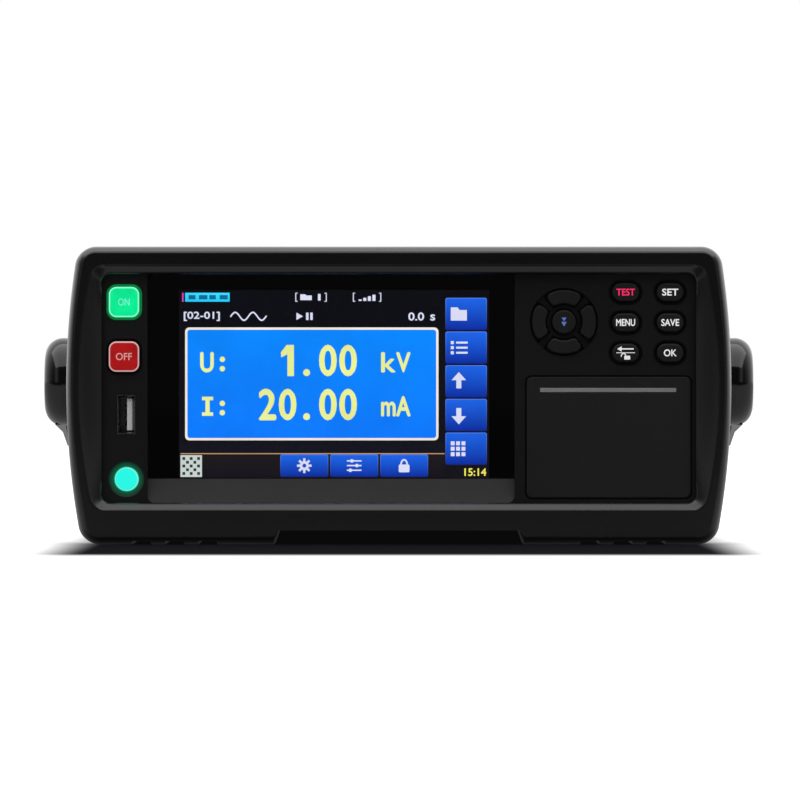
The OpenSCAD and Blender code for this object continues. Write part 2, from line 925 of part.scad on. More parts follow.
// Clear body of a square key, with its flange, its stem and the seat of the cap
module square_body(z) {
  y0 = panel_y - square_proud;
  difference() {
    soft_pad(strip_x, z, square_key, square_key, square_r, y0, flange_y + flange_t, 0.7);
    along_y(y0 - cut, y0 + 0.6)
      translate([strip_x, z])
        rrect(square_key - 2 * square_rim, square_key - 2 * square_rim, square_r - square_rim);
  }
  along_y(flange_y, flange_y + flange_t)
    intersection() {
      translate([strip_x, z])
        rrect(square_key + 2 * square_gap + 0.9, square_key + 2 * square_gap + 0.9, square_r + square_gap);
      edges(open_x0, recess_x0 - tub_t - key_gap, open_z0, open_z1);
    }
  along_y(flange_y + flange_t - 0.1, switch_y - square_travel - key_stop)
    translate([strip_x, z])
      circle(d = 4);
}

// Coloured cap in the seat of a square key
module square_cap(z) {
  y0 = panel_y - square_proud;
  rim = square_rim + 0.05;
  w = square_key - 2 * rim;
  soft_pad(strip_x, z, w, w, square_r - rim, y0 - 0.25, y0 + 0.6, 0.35);
}

module start_key() {
  color("#9fe8c4")
    square_body(start_z);
}

module start_cap() {
  color("#22d884")
    square_cap(start_z);
}

module stop_key() {
  color("#d8b8b4")
    square_body(stop_z);
}

module stop_cap() {
  color("#b01414")
    square_cap(stop_z);
}

module power_button() {
  color("#3ce0c0") {
    turned(power_x, flange_y + flange_t, power_z)
      half_crown(power_d / 2, flange_y + flange_t - panel_y + 0.6, 0.6);
    along_y(flange_y, flange_y + flange_t)
      translate([power_x, power_z])
        circle(d = power_d + 2 * key_gap + 2);
    along_y(flange_y + flange_t - 0.1, switch_y - square_travel - key_stop)
      translate([power_x, power_z])
        circle(d = 4);
  }
}

// A direction key, turned to its place round the pad
module arc_key(a) {
  soft = 0.6;
  color(rubber)
    translate([pad_x, 0, pad_z])
      rotate([0, a, 0]) {
        minkowski() {
          along_y(panel_y - key_proud + soft, flange_y)
            arc_plan(soft);
          sphere(soft, $fn = 12);
        }
        along_y(flange_y, flange_y + flange_t)
          ring_part(arc_r0 - 0.7, arc_r1 + 1, arc_half + 5);
        along_y(flange_y + flange_t - 0.1, switch_y - key_travel - key_stop)
          translate([0, arc_mid])
            circle(d = 3.4);
      }
}

module up_key() {
  arc_key(0);
}

module right_key() {
  arc_key(90);
}

module down_key() {
  arc_key(180);
}

module left_key() {
  arc_key(270);
}

module center_key() {
  color(rubber) {
    turned(pad_x, flange_y + flange_t, pad_z)
      half_crown(center_r, flange_y + flange_t - panel_y + key_proud, 0.6);
    along_y(flange_y, flange_y + flange_t)
      translate([pad_x, pad_z])
        circle(center_r + 0.8);
    along_y(flange_y + flange_t - 0.1, switch_y - key_travel - key_stop)
      translate([pad_x, pad_z])
        circle(d = 3.4);
  }
}

// An oval key of the keypad
module oval_key(col, row) {
  x = oval_x(col);
  z = oval_z(row);
  color(rubber) {
    soft_pad(x, z, oval_w, oval_h, oval_h / 2, panel_y - key_proud, flange_y + flange_t, 0.8);
    along_y(flange_y, flange_y + flange_t)
      translate([x, z])
        stadium(oval_w + 2.4, oval_h + 2.4);
    along_y(flange_y + flange_t - 0.1, switch_y - key_travel - key_stop)
      translate([x, z])
        circle(d = 3.4);
  }
}

module test_key() {
  oval_key(0, 0);
}

module set_key() {
  oval_key(1, 0);
}

module menu_key() {
  oval_key(0, 1);
}

module save_key() {
  oval_key(1, 1);
}

module back_key() {
  oval_key(0, 2);
}

module ok_key() {
  oval_key(1, 2);
}

// Points of an arc, first and last included
function arc_line(c, r, a0, a1, n) = [for (i = [0:n]) c + r * [cos(a0 + (a1 - a0) * i / n), sin(a0 + (a1 - a0) * i / n)]];

// The strap's outline from the side: a hub eye that tapers to a flat foot for the grip
module strap_plan(grow) {
  eye = hub_eye + grow;
  end_r = grip_t / 2 + grow;
  reach = (grip_w - grip_t) / 2;
  hub = [hub_y, hub_z];
  rear = [grip_y + reach, grip_z];
  front = [grip_y - reach, grip_z];
  up = atan2(rear.y - hub.y, rear.x - hub.x) + 90 - asin((eye - end_r) / norm(rear - hub));
  low = atan2(front.y - hub.y, front.x - hub.x) + 270 + asin((eye - end_r) / norm(front - hub));
  polygon(concat(
    arc_line(hub, eye, up, low, 32),
    arc_line(front, end_r, low, 270, 4),
    arc_line(rear, end_r, 270, up + 360, 14)
  ));
}

// Strap of the right side; the left one is its mirror image
module strap() {
  color(paint)
    difference() {
      along_x(strap_x0, strap_x1)
        strap_plan(0);
      along_x(strap_x0 - cut, strap_x1 + cut)
        translate([hub_y, hub_z])
          circle(d = pivot_d + 2 * fit);
      for (s = [-1, 1])
        along_x(strap_x0 - cut, strap_x1 + cut)
          translate([grip_y + s * bar_w / 4, grip_z])
            circle(d = screw_hole);
    }
}

module handle_arm_right() {
  strap();
}

module handle_arm_left() {
  mirror([1, 0, 0])
    strap();
}

module handle_bar() {
  color(steel)
    difference() {
      along_x(-strap_x0, strap_x0)
        translate([grip_y, grip_z])
          stadium(bar_w, bar_t);
      for (m = [0, 1], s = [-1, 1])
        mirror([m, 0, 0])
          along_x(strap_x0 - 10, strap_x0 + cut)
            translate([grip_y + s * bar_w / 4, grip_z])
              circle(d = screw_d + 2 * fit);
    }
}

module handle_grip() {
  color(rubber)
    along_x(-grip_len / 2, grip_len / 2)
      translate([grip_y, grip_z])
        difference() {
          stadium(grip_w, grip_t);
          stadium(bar_w + 2 * fit, bar_t + 2 * fit);
        }
}

module handle_screws() {
  color(steel)
    for (m = [0, 1], s = [-1, 1])
      mirror([m, 0, 0]) {
        along_x(strap_x0 - 9, strap_x1 + 0.05)
          translate([grip_y + s * bar_w / 4, grip_z])
            circle(d = screw_d);
        along_x(strap_x1 + 0.05, strap_x1 + 1.65)
          translate([grip_y + s * bar_w / 4, grip_z])
            circle(d = screw_head);
      }
}

// Domed hub cover with a tail that runs down onto the strap
module hub_cap() {
  base = strap_x0 + 0.3;
  top = strap_x1 + hub_out;
  difference() {
    union() {
      turned_x(base, hub_y, hub_z)
        half_crown(hub_r, top - base, hub_edge);
      intersection() {
        along_x(strap_x1 - 0.5, top)
          translate([hub_y, hub_z])
            rotate(-arm_drop) {
              tangent_strip(hub_r, tail_half, tail_len);
            }
        translate([0, hub_y, hub_z])
          rotate([-arm_drop, 0, 0])
            translate([0, 0, -hub_r - cut])
              linear_extrude(2 * hub_r + 2 * cut)
                polygon([
                  [strap_x1 - 0.5, 0],
                  [strap_x1 + tail_out, 0],
                  [strap_x1 + 0.3 * tail_out, 0.85 * hub_r],
                  [strap_x1 + 0.4, tail_len],
                  [strap_x1 - 0.5, tail_len]
                ]);
      }
    }
    along_x(base - cut, strap_x1 + fit)
      strap_plan(fit);
    turned_x(base, hub_y, hub_z)
      square([head_d / 2 + 0.5, strap_x1 - base + head_t + 0.6]);
  }
}

module hub_caps() {
  color(gloss)
    for (m = [0, 1])
      mirror([m, 0, 0])
        hub_cap();
}

// Fixed boss that carries the pivot out past the bumper
module pivot_bosses() {
  color(paint)
    for (m = [0, 1])
      mirror([m, 0, 0])
        turned_x(case_w / 2, hub_y, hub_z)
          difference() {
            union() {
              square([hub_r, 2.5]);
              square([hub_r - 2, boss_out - case_w / 2]);
            }
            translate([-cut, -cut])
              square([(pivot_d - 1.8) / 2 + cut, boss_out - case_w / 2 + 2 * cut]);
          }
}

// Shoulder bolts, their inner nuts and the friction washers
module pivot_hardware() {
  color(steel)
    for (m = [0, 1])
      mirror([m, 0, 0]) {
        turned_x(0, hub_y, hub_z) {
          translate([0, strap_x1 + fit])
            square([head_d / 2, head_t]);
          translate([0, boss_out])
            square([pivot_d / 2, strap_x1 + fit - boss_out]);
          translate([0, case_w / 2 - sheet_t - 6])
            square([pivot_d / 2 - 1, boss_out - case_w / 2 + sheet_t + 6]);
        }
        translate([case_w / 2 - sheet_t - 5.1, hub_y, hub_z])
          rotate([0, 90, 0])
            difference() {
              cylinder(h = 5, d = 13, $fn = 6);
              translate([0, 0, -cut])
                cylinder(h = 5 + 2 * cut, d = pivot_d - 1.9);
            }
        turned_x(boss_out + 0.05, hub_y, hub_z)
          translate([pivot_d / 2 + fit, 0])
            square([6, 0.3]);
      }
}

// Rear sheet with its cut-outs
module rear_panel() {
  color(paint)
    along_y(rear_in, rear_out)
      difference() {
        case_outline(-0.3);
        translate([fan_x, fan_z]) {
          circle(d = fan_bore);
          for (sx = [-1, 1], sz = [-1, 1])
            translate([sx * (fan_w / 2 - 5), sz * (fan_w / 2 - 5)])
              circle(d = screw_hole);
        }
        translate([inlet_x, inlet_z])
          square([inlet_w - 3, inlet_h - 8], center = true);
        for (x = [output_x, return_x])
          translate([x, socket_z])
            circle(d = socket_d - 6);
        translate([earth_x, earth_z])
          circle(d = 6.3);
        translate([serial_x, serial_z])
          square([18, 9.5], center = true);
        translate([handler_x, handler_z])
          square([40, 9.5], center = true);
        for (p = rear_screw_at)
          translate(p)
            circle(d = screw_hole);
      }
}

module fan_frame() {
  color(black)
    difference() {
      union() {
        along_y(fan_y0, fan_y0 + fan_t)
          translate([fan_x, fan_z])
            difference() {
              rrect(fan_w, fan_w, 4);
              circle(d = fan_bore);
              for (sx = [-1, 1], sz = [-1, 1])
                translate([sx * (fan_w / 2 - 5), sz * (fan_w / 2 - 5)])
                  circle(d = screw_d + 2 * fit);
            }
        along_y(fan_y0, fan_y0 + 3)
          translate([fan_x, fan_z]) {
            circle(d = 26);
            for (a = [0:90:270])
              rotate(a + 45)
                translate([fan_bore / 4, 0])
                  square([fan_bore / 2 + 1, 3], center = true);
          }
        along_y(fan_y0 + 2.5, fan_y0 + 10)
          translate([fan_x, fan_z])
            circle(d = 5);
      }
      along_y(fan_y0 - cut, fan_y0 + 3.5)
        translate([fan_x, fan_z])
          circle(d = 3);
    }
}

// Hub and pitched blades
module fan_rotor() {
  color("#202124")
    translate([fan_x, fan_y0 + 4.5, fan_z])
      rotate([-90, 0, 0]) {
        difference() {
          cylinder(h = fan_t - 6.5, d = 25);
          translate([0, 0, -cut])
            cylinder(h = 7 + cut, d = 6);
        }
        intersection() {
          for (i = [0:6])
            rotate(i * 360 / 7)
              translate([0, 0, (fan_t - 6.5) / 2])
                rotate([38, 0, 0])
                  translate([0, -1, -20])
                    cube([40, 1.6, 40]);
          translate([0, 0, 0.8])
            difference() {
              cylinder(h = fan_t - 8, d = fan_bore - 2);
              translate([0, 0, -cut])
                cylinder(h = fan_t, d = 24.6);
            }
        }
      }
}

// Stamped finger guard outside the rear panel: rings, a cross and four screw eyes
module fan_guard() {
  web = 2;
  color(steel)
    along_y(rear_out + 0.05, rear_out + 1.65)
      translate([fan_x, fan_z])
        difference() {
          union() {
            for (r = [9, 17, 25])
              difference() {
                circle(r + web / 2);
                circle(r - web / 2);
              }
            for (a = [45, 135])
              rotate(a)
                square([2 * guard_reach, web], center = true);
            for (a = [45:90:315])
              rotate(a)
                translate([guard_reach, 0])
                  circle(d = 7);
          }
          for (a = [45:90:315])
            rotate(a)
              translate([guard_reach, 0])
                circle(d = screw_hole);
        }
}

// Mains inlet with a hollow for the plug above and a slot for the fuse drawer below
module power_inlet() {
  color(black)
    difference() {
      union() {
        along_y(rear_out + 0.05, rear_out + 3)
          translate([inlet_x, inlet_z])
            rrect(inlet_w, inlet_h, 3);
        along_y(rear_out - inlet_d, rear_out + 1)
          translate([inlet_x, inlet_z])
            square([inlet_w - 3.4, inlet_h - 8.4], center = true);
      }
      along_y(rear_out - 15, rear_out + 3 + cut)
        translate([inlet_x, cavity_z])
          polygon([[-12, -8], [12, -8], [12, 4], [8, 8], [-8, 8], [-12, 4]]);
      along_y(rear_out - 19, rear_out + 3 + cut)
        translate([inlet_x, drawer_z])
          square([drawer_w + 0.6, drawer_h - 1.4], center = true);
      along_y(rear_out + 1.6, rear_out + 3 + cut)
        translate([inlet_x, drawer_z])
          square([drawer_w + 2.6, drawer_h + 0.6], center = true);
      along_y(rear_out - 15 - 4, rear_out - 14)
        translate([inlet_x, cavity_z])
          for (p = [[-7, -2], [7, -2], [0, 2]])
            translate(p)
              square([2.2, 4.2], center = true);
    }
}

module inlet_pins() {
  color("#c9b06a")
    along_y(rear_out - 18.9, rear_out - 1.5)
      translate([inlet_x, cavity_z])
        for (p = [[-7, -2], [7, -2], [0, 2]])
          translate(p)
            square([2, 4], center = true);
}

module fuse_drawer() {
  color("#1e1e20") {
    along_y(rear_out - 18, rear_out + 2)
      translate([inlet_x, drawer_z])
        square([drawer_w, drawer_h - 2], center = true);
    along_y(rear_out + 1.75, rear_out + 4)
      translate([inlet_x, drawer_z])
        rrect(drawer_w + 2, drawer_h, 1);
  }
}

// Insulated test socket with its flange outside and its nut inside
module test_socket(x) {
  turned(x, rear_out, socket_z)
    difference() {
      union() {
        translate([0, -8])
          square([socket_d / 2, 7.95]);
        translate([0, -11])
          square([socket_d / 2 - 4, 10]);
        translate([0, -2])
          square([socket_d / 2 - 3.2, 24]);
        translate([0, rear_t + 0.05])
          square([socket_d / 2, 5]);
      }
      translate([-cut, -12])
        square([socket_bore / 2 + cut, 28]);
      translate([-cut, -12])
        square([socket_bore / 2 + 2.2 + cut, 6]);
    }
}

module output_socket() {
  color("#a81818")
    test_socket(output_x);
}

module return_socket() {
  color(black)
    test_socket(return_x);
}

module earth_terminal() {
  color("#c9b06a")
    translate([earth_x, rear_out, earth_z])
      rotate([-90, 0, 0]) {
        translate([0, 0, -12])
          cylinder(h = 23, d = 6);
        translate([0, 0, 0.05])
          cylinder(h = 1.2, d = 12);
        translate([0, 0, 1])
          cylinder(h = 5, d = 11.5, $fn = 6);
        translate([0, 0, -rear_t - 5])
          cylinder(h = 4.95, d = 11.5, $fn = 6);
      }
}

// Interface socket: steel flange and shell round a dark insert with contact holes
module d_socket(x, z, w, n, c) {
  along_y(rear_out + 0.05, rear_out + 1.2)
    translate([x, z])
      rrect(w + 14, 12.5, 1);
  along_y(rear_out - 9, rear_out + 1)
    translate([x, z])
      square([w, 8.6], center = true);
  difference() {
    along_y(rear_out + 1, rear_out + 6.8)
      translate([x, z])
        polygon([
          [-w / 2, 4],
          [w / 2, 4],
          [w / 2 - 1.6, -4],
          [-w / 2 + 1.6, -4]
        ]);
    along_y(rear_out + 3.5, rear_out + 8)
      translate([x, z])
        for (row = [0, 1], i = [0:n - 1 - row])
          translate([(i - (n - 1 - row) / 2) * 2.76, 1.42 - row * 2.84])
            circle(d = 1.2);
  }
  for (s = [-1, 1])
    translate([x + s * (w / 2 + 4), rear_out + 1, z])
      rotate([-90, 0, 0])
        difference() {
          cylinder(h = 5, d = 5.4, $fn = 6);
          translate([0, 0, 2])
            cylinder(h = 5, d = 2.6);
        }
}

module serial_port() {
  color(steel)
    d_socket(serial_x, serial_z, serial_w, 5);
}

module handler_port() {
  color(steel)
    d_socket(handler_x, handler_z, handler_w, 13);
}

// Laminated core with its two windows
module transformer_core() {
  color("#4a4c50")
    difference() {
      translate([core_x - core_w / 2, core_y - core_l / 2, tray_top])
        cube([core_w, core_l, core_h]);
      along_y(core_y - core_l, core_y + core_l)
        for (s = [-1, 1])
          translate([core_x + s * core_w / 4, tray_top + core_h / 2])
            square([core_w / 6, core_h * 0.62], center = true);
    }
}

module transformer_coil() {
  w = core_w / 3;
  color("#a8632c")
    difference() {
      translate([core_x, core_y, tray_top + core_h * 0.205])
        linear_extrude(core_h * 0.59)
          rrect(w + core_w / 3 - 0.6, core_l + core_w / 3 - 0.6, coil_r);
      translate([core_x - w / 2 - fit, core_y - core_l / 2 - fit, tray_top])
        cube([w + 2 * fit, core_l + 2 * fit, core_h]);
    }
}

// A circuit board on its posts, with its parts soldered on
module pcb(x0, x1, y0, y1) {
  difference() {
    translate([x0, y0, pcb_z])
      cube([x1 - x0, y1 - y0, pcb_t]);
    for (p = corners(x0, x1, y0, y1))
      translate([p.x, p.y, pcb_z - cut])
        cylinder(h = pcb_t + 2 * cut, d = screw_hole);
  }
}

module block(x, y, w, l, h) {
  translate([x - w / 2, y - l / 2, pcb_z + pcb_t - 0.2])
    cube([w, l, h + 0.2]);
}

module can(x, y, d, h) {
  translate([x, y, pcb_z + pcb_t - 0.2])
    cylinder(h = h + 0.2, d = d);
}

module main_board() {
  w = main_x1 - main_x0;
  l = main_y1 - main_y0;
  x = main_x0 + w / 2;
  color(board) {
    pcb(main_x0, main_x1, main_y0, main_y1);
    block(x, link_y, link_w, 0.06 * w, link_h);
    block(x - 0.19 * w, main_y0 + 0.34 * l, 0.21 * w, 0.21 * w, 0.2 * part_h);
    block(x + 0.15 * w, main_y0 + 0.31 * l, 0.15 * w, 0.11 * w, 0.2 * part_h);
    block(x + 0.21 * w, main_y0 + 0.6 * l, 0.28 * w, 0.19 * w, 1.2 * part_h);
    block(x - 0.21 * w, main_y0 + 0.64 * l, 0.11 * w, 0.23 * w, 0.9 * part_h);
    for (i = [0:3])
      can(x + (0.15 * i - 0.32) * w, main_y0 + 0.87 * l, 0.1 * w, 1.4 * part_h);
  }
}

module power_supply() {
  w = supply_x1 - supply_x0;
  l = supply_y1 - supply_y0;
  x = supply_x0 + w / 2;
  y = supply_y0 + l / 2;
  color(board) {
    pcb(supply_x0, supply_x1, supply_y0, supply_y1);
    block(x - 0.18 * w, y, 0.39 * w, 0.36 * w, 2.2 * part_h);
    can(x + 0.24 * w, y - 0.12 * l, 0.27 * w, 3 * part_h);
    can(x + 0.24 * w, y + 0.1 * l, 0.18 * w, 2.2 * part_h);
    block(x - 0.3 * w, y + 0.27 * l, 0.24 * w, 0.21 * w, 1.4 * part_h);
  }
}

module hv_board() {
  w = hv_x1 - hv_x0;
  l = hv_y1 - hv_y0;
  x = hv_x0 + w / 2;
  y = hv_y0 + l / 2;
  color(board) {
    pcb(hv_x0, hv_x1, hv_y0, hv_y1);
    for (i = [-1:1])
      block(x + 0.29 * i * w, y - 0.24 * l, 0.18 * w, 0.28 * l, 1.8 * part_h);
    for (i = [0:3])
      can(x + (0.21 * i - 0.32) * w, y + 0.14 * l, 0.16 * w, 2.6 * part_h);
    block(x, y + 0.38 * l, 0.4 * w, 0.12 * l, 1.6 * part_h);
  }
}

// Extruded fins, standing on the tray
module amplifier_heatsink() {
  color("#6d7074")
    translate([sink_x, sink_y, tray_top])
      linear_extrude(sink_h) {
        translate([-sink_w / 2, -sink_l / 2])
          square([sink_w, 6]);
        for (i = [0:9])
          translate([-sink_w / 2 + i * (sink_w - 2) / 9, -sink_l / 2])
            square([2, sink_l]);
      }
}

module board_standoffs() {
  color("#c9b06a")
    for (p = post_at)
      translate([p.x, p.y, tray_top])
        difference() {
          cylinder(h = post_h, d = 6.4, $fn = 6);
          translate([0, 0, 1])
            cylinder(h = post_h, d = screw_d + 2 * fit);
        }
}

// A pan-head screw along Z, its head seated at zero
module screw(len) {
  translate([0, 0, 0.03])
    cylinder(h = 2, d = screw_head);
  translate([0, 0, -len])
    cylinder(h = len + 0.1, d = screw_d);
}

// Screws of the boards, the front board, the cover, the rear panel and the fan
module machine_screws() {
  color(steel) {
    for (p = post_at)
      translate([p.x, p.y, pcb_z + pcb_t])
        screw(6);
    for (p = boss_at)
      translate([p.x, board_y + board_t, p.y])
        rotate([-90, 0, 0])
          screw(6);
    for (m = [0, 1], y = cover_screw_y)
      mirror([m, 0, 0])
        translate([case_w / 2, y, cover_screw_z])
          rotate([0, 90, 0])
            screw(5);
    for (p = rear_screw_at)
      translate([p.x, rear_out, p.y])
        rotate([-90, 0, 0])
          screw(5);
    for (sx = [-1, 1], sz = [-1, 1])
      translate([fan_x + sx * (fan_w / 2 - 5), rear_out + 1.7, fan_z + sz * (fan_w / 2 - 5)])
        rotate([-90, 0, 0])
          screw(16);
  }
}

// Flat cable from the front board down to the main board
module ribbon_cable() {
  x = (main_x0 + main_x1) / 2;
  y0 = board_y + board_t;
  y1 = link_y;
  top = pcb_z + pcb_t + link_h;
  z = top + 1.7 * link_h;
  color("#8a8d92")
    along_x(x - 0.44 * link_w, x + 0.44 * link_w)
      polygon([
        [y0, z],
        [y1 - 1.5, z],
        [y1 - 0.5, z - 1],
        [y1 - 0.5, top],
        [y1 + 0.5, top],
        [y1 + 0.5, z - 0.6],
        [y1 - 1.1, z + 1],
        [y0, z + 1]
      ]);
}

front_bumper();
rear_bumper();
top_cover();
chassis_tray();
front_bezel();
rear_panel();
display_window();
lcd_module();
blank_panel();
trim_strip();
keypad_mat();
front_board();
tact_switches();
usb_shell();
usb_tongue();
power_switch();
start_key();
start_cap();
stop_key();
stop_cap();
power_button();
up_key();
down_key();
left_key();
right_key();
center_key();
test_key();
set_key();
menu_key();
save_key();
back_key();
ok_key();
handle_arm_left();
handle_arm_right();
handle_bar();
handle_grip();
hub_caps();
handle_screws();
pivot_bosses();
pivot_hardware();
fan_frame();
fan_rotor();
fan_guard();
power_inlet();
inlet_pins();
fuse_drawer();
output_socket();
return_socket();
earth_terminal();
serial_port();
handler_port();
transformer_core();
transformer_coil();
main_board();
amplifier_heatsink();
power_supply();
hv_board();
board_standoffs();
machine_screws();
ribbon_cable();
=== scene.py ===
"""Looks of a bench hipot tester: finishes, display, legends, rubber bumpers, floor, light and camera."""

import json
import math

import bpy
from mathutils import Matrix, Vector


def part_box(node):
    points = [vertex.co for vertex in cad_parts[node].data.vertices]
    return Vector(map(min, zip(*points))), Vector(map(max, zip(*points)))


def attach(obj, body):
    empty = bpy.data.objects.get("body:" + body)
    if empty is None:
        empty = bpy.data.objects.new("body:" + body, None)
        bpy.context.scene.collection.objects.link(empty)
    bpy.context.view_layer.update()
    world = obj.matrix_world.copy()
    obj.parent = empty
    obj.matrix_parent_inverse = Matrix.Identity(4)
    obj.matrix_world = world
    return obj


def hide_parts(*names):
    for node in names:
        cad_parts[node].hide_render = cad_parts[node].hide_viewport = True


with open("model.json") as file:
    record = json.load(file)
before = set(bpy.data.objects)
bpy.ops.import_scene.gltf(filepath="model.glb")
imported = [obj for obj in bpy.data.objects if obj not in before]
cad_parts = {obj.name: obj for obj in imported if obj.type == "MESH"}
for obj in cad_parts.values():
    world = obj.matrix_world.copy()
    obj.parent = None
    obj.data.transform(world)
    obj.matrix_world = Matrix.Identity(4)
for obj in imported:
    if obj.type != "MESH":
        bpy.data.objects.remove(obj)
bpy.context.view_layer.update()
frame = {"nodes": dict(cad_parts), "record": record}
nodes = frame["nodes"]
scene = bpy.context.scene

# Lengths below are in millimetres; MM turns them into Blender's metres
MM = 0.001
# The picture's view: camera distance from the front rim, its aim, and pixels a millimetre at that rim
CAM_D = 2500.0
CAM_X = 0.42
CAM_Z = 50.9
PX_A_MM = 2.843
PICTURE_W = 800
SENSOR = 36.0


class Spot:
    """A node's box in millimetres: its low and high corners, middle and front face."""

    def __init__(self, node):
        lo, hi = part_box(node)
        self.lo = Vector(lo) / MM
        self.hi = Vector(hi) / MM
        mid = (self.lo + self.hi) / 2
        self.x, self.z = mid.x, mid.z
        self.front = self.lo.y
        self.size = self.hi - self.lo


def srgb(r, g, b):
    """An 8-bit screen colour as linear light."""
    return tuple(((c / 255 + 0.055) / 1.055) ** 2.4 if c > 10 else c / 255 / 12.92 for c in (r, g, b))


# Finishes


def noise(tree, vector, scale, detail):
    """A noise texture read at a vector."""
    n = tree.nodes.new("ShaderNodeTexNoise")
    n.inputs["Scale"].default_value = scale
    n.inputs["Detail"].default_value = detail
    tree.links.new(vector, n.inputs["Vector"])
    return n.outputs["Fac"]


def remap(tree, value, low, high, source=(0.3, 0.7), smooth=False):
    """A value taken from one range to another."""
    n = tree.nodes.new("ShaderNodeMapRange")
    if smooth:
        n.interpolation_type = "SMOOTHSTEP"
    n.inputs["From Min"].default_value = source[0]
    n.inputs["From Max"].default_value = source[1]
    n.inputs["To Min"].default_value = low
    n.inputs["To Max"].default_value = high
    tree.links.new(value, n.inputs["Value"])
    return n.outputs["Result"]


def combine(tree, operation, a, b):
    """Two values or a value and a number through a math node."""
    n = tree.nodes.new("ShaderNodeMath")
    n.operation = operation
    for socket, v in zip(n.inputs, (a, b)):
        if isinstance(v, (int, float)):
            socket.default_value = v
        else:
            tree.links.new(v, socket)
    return n.outputs[0]


def tone_mix(tree, factor, a, b):
    """A colour between a and b."""
    n = tree.nodes.new("ShaderNodeMix")
    n.data_type = "RGBA"
    n.inputs["A"].default_value = (*a, 1)
    n.inputs["B"].default_value = (*b, 1)
    tree.links.new(factor, n.inputs["Factor"])
    return n.outputs["Result"]


def place(tree, stretch=None):
    """The point on the piece, stretched where a finish runs one way."""
    coord = tree.nodes.new("ShaderNodeTexCoord")
    if not stretch:
        return coord.outputs["Object"]
    m = tree.nodes.new("ShaderNodeMapping")
    m.inputs["Scale"].default_value = stretch
    tree.links.new(coord.outputs["Object"], m.inputs["Vector"])
    return m.outputs["Vector"]


def skin(
    name, dark, light, rough, spread=0.06, grain=2600, bump=0.12, metal=0.0,
    patch=30, stretch=None, shine=0.3,
):
    """A moulded, painted or metal finish: two close tones in patches, uneven polish and a fine bump."""
    m = bpy.data.materials.new(name)
    m.use_nodes = True
    t = m.node_tree
    b = t.nodes["Principled BSDF"]
    fine = noise(t, place(t, stretch), grain, 2.0)
    broad = noise(t, place(t), patch, 4.0)
    both = combine(t, "MULTIPLY", combine(t, "ADD", fine, broad), 0.5)
    t.links.new(tone_mix(t, remap(t, both, 0, 1), dark, light), b.inputs["Base Color"])
    t.links.new(remap(t, both, max(rough - spread, 0.02), min(rough + spread, 1)), b.inputs["Roughness"])
    if bump:
        relief = t.nodes.new("ShaderNodeBump")
        relief.inputs["Strength"].default_value = bump
        relief.inputs["Distance"].default_value = 0.1 * MM
        t.links.new(fine, relief.inputs["Height"])
        t.links.new(relief.outputs["Normal"], b.inputs["Normal"])
    b.inputs["Metallic"].default_value = metal
    b.inputs["Specular IOR Level"].default_value = shine
    return m


def lit(name, colour, strength, base, spread=0.1):
    """A translucent plastic lit from behind, a little uneven."""
    m = skin(name, base, base, 0.35, bump=0.0)
    t = m.node_tree
    b = t.nodes["Principled BSDF"]
    level = remap(t, noise(t, place(t), 220, 2.0), strength * (1 - spread), strength * (1 + spread))
    t.links.new(level, b.inputs["Emission Strength"])
    b.inputs["Emission Color"].default_value = (*colour, 1)
    return m


def grey(a):
    """A neutral tone that is a touch cool."""
    return (a, a, a * 1.04)


RUBBER = skin("rubber_black", grey(0.003), grey(0.0045), 0.25, 0.03, 1500, 0.05, shine=0.6)
PAINT = skin("case_paint", grey(0.022), grey(0.032), 0.5, 0.06, 1100, 0.35)
PANEL = skin("panel_black", grey(0.014), grey(0.02), 0.44, 0.06, 2400, 0.2, shine=0.25)
MOULDING = skin("panel_black_moulding", grey(0.0062), grey(0.0092), 0.42, 0.06, 2400, 0.2, shine=0.25)
GLOSS = skin("gloss_black", grey(0.002), grey(0.003), 0.1, 0.03, 900, 0.02, shine=0.5)
KEY = skin("key_rubber", grey(0.0125), grey(0.017), 0.48, 0.06, 2600, 0.2, shine=0.2)
TRIM = skin("trim_grey", grey(0.18), grey(0.4), 0.5, 0.1, 2200, 0.5)
STEEL = skin("steel", grey(0.36), grey(0.48), 0.3, 0.06, 1400, 0.04, 1.0, stretch=(1, 1, 12))
SHELL = skin("steel_shell", grey(0.12), grey(0.2), 0.3, 0.08, 1400, 0.1, 1.0, stretch=(1, 12, 1))
BRASS = skin("brass", (0.5, 0.36, 0.14), (0.62, 0.46, 0.2), 0.3, 0.08, 1200, 0.08, 1.0)
WHITE = skin("white_plastic", (0.84, 0.84, 0.83), (0.92, 0.92, 0.9), 0.4, 0.05, 1400, 0.05)
DARK = skin("switch_dark", grey(0.018), grey(0.03), 0.5, 0.06, 1400, 0.1)
BOARD = skin("board_green", (0.008, 0.06, 0.025), (0.012, 0.09, 0.035), 0.35, 0.08, 700, 0.08)
SOCKET_RED = skin("socket_red", (0.3, 0.008, 0.008), (0.4, 0.012, 0.012), 0.3, 0.05, 1400, 0.05)
CORE = skin("core_steel", grey(0.06), grey(0.12), 0.5, 0.1, 900, 0.3, 0.7, stretch=(1, 40, 1))
COIL = skin("coil_tape", (0.3, 0.11, 0.03), (0.42, 0.17, 0.05), 0.45, 0.08, 500, 0.2, stretch=(1, 1, 20))
ALLOY = skin("aluminium", grey(0.34), grey(0.46), 0.4, 0.08, 1200, 0.1, 1.0, stretch=(12, 1, 1))
CABLE = skin("cable_grey", grey(0.2), grey(0.3), 0.5, 0.06, 900, 0.1, stretch=(30, 1, 1))
LCD = skin("lcd_dark", (0.003, 0.003, 0.007), (0.004, 0.004, 0.01), 0.3, 0.05, 1200, 0.0)
STOP_RED = lit("stop_red", srgb(150, 12, 14), 0.7, (0.34, 0.004, 0.005), 0.25)
START_GREEN = lit("start_green", srgb(0, 245, 152), 0.85, (0.0, 0.08, 0.03))
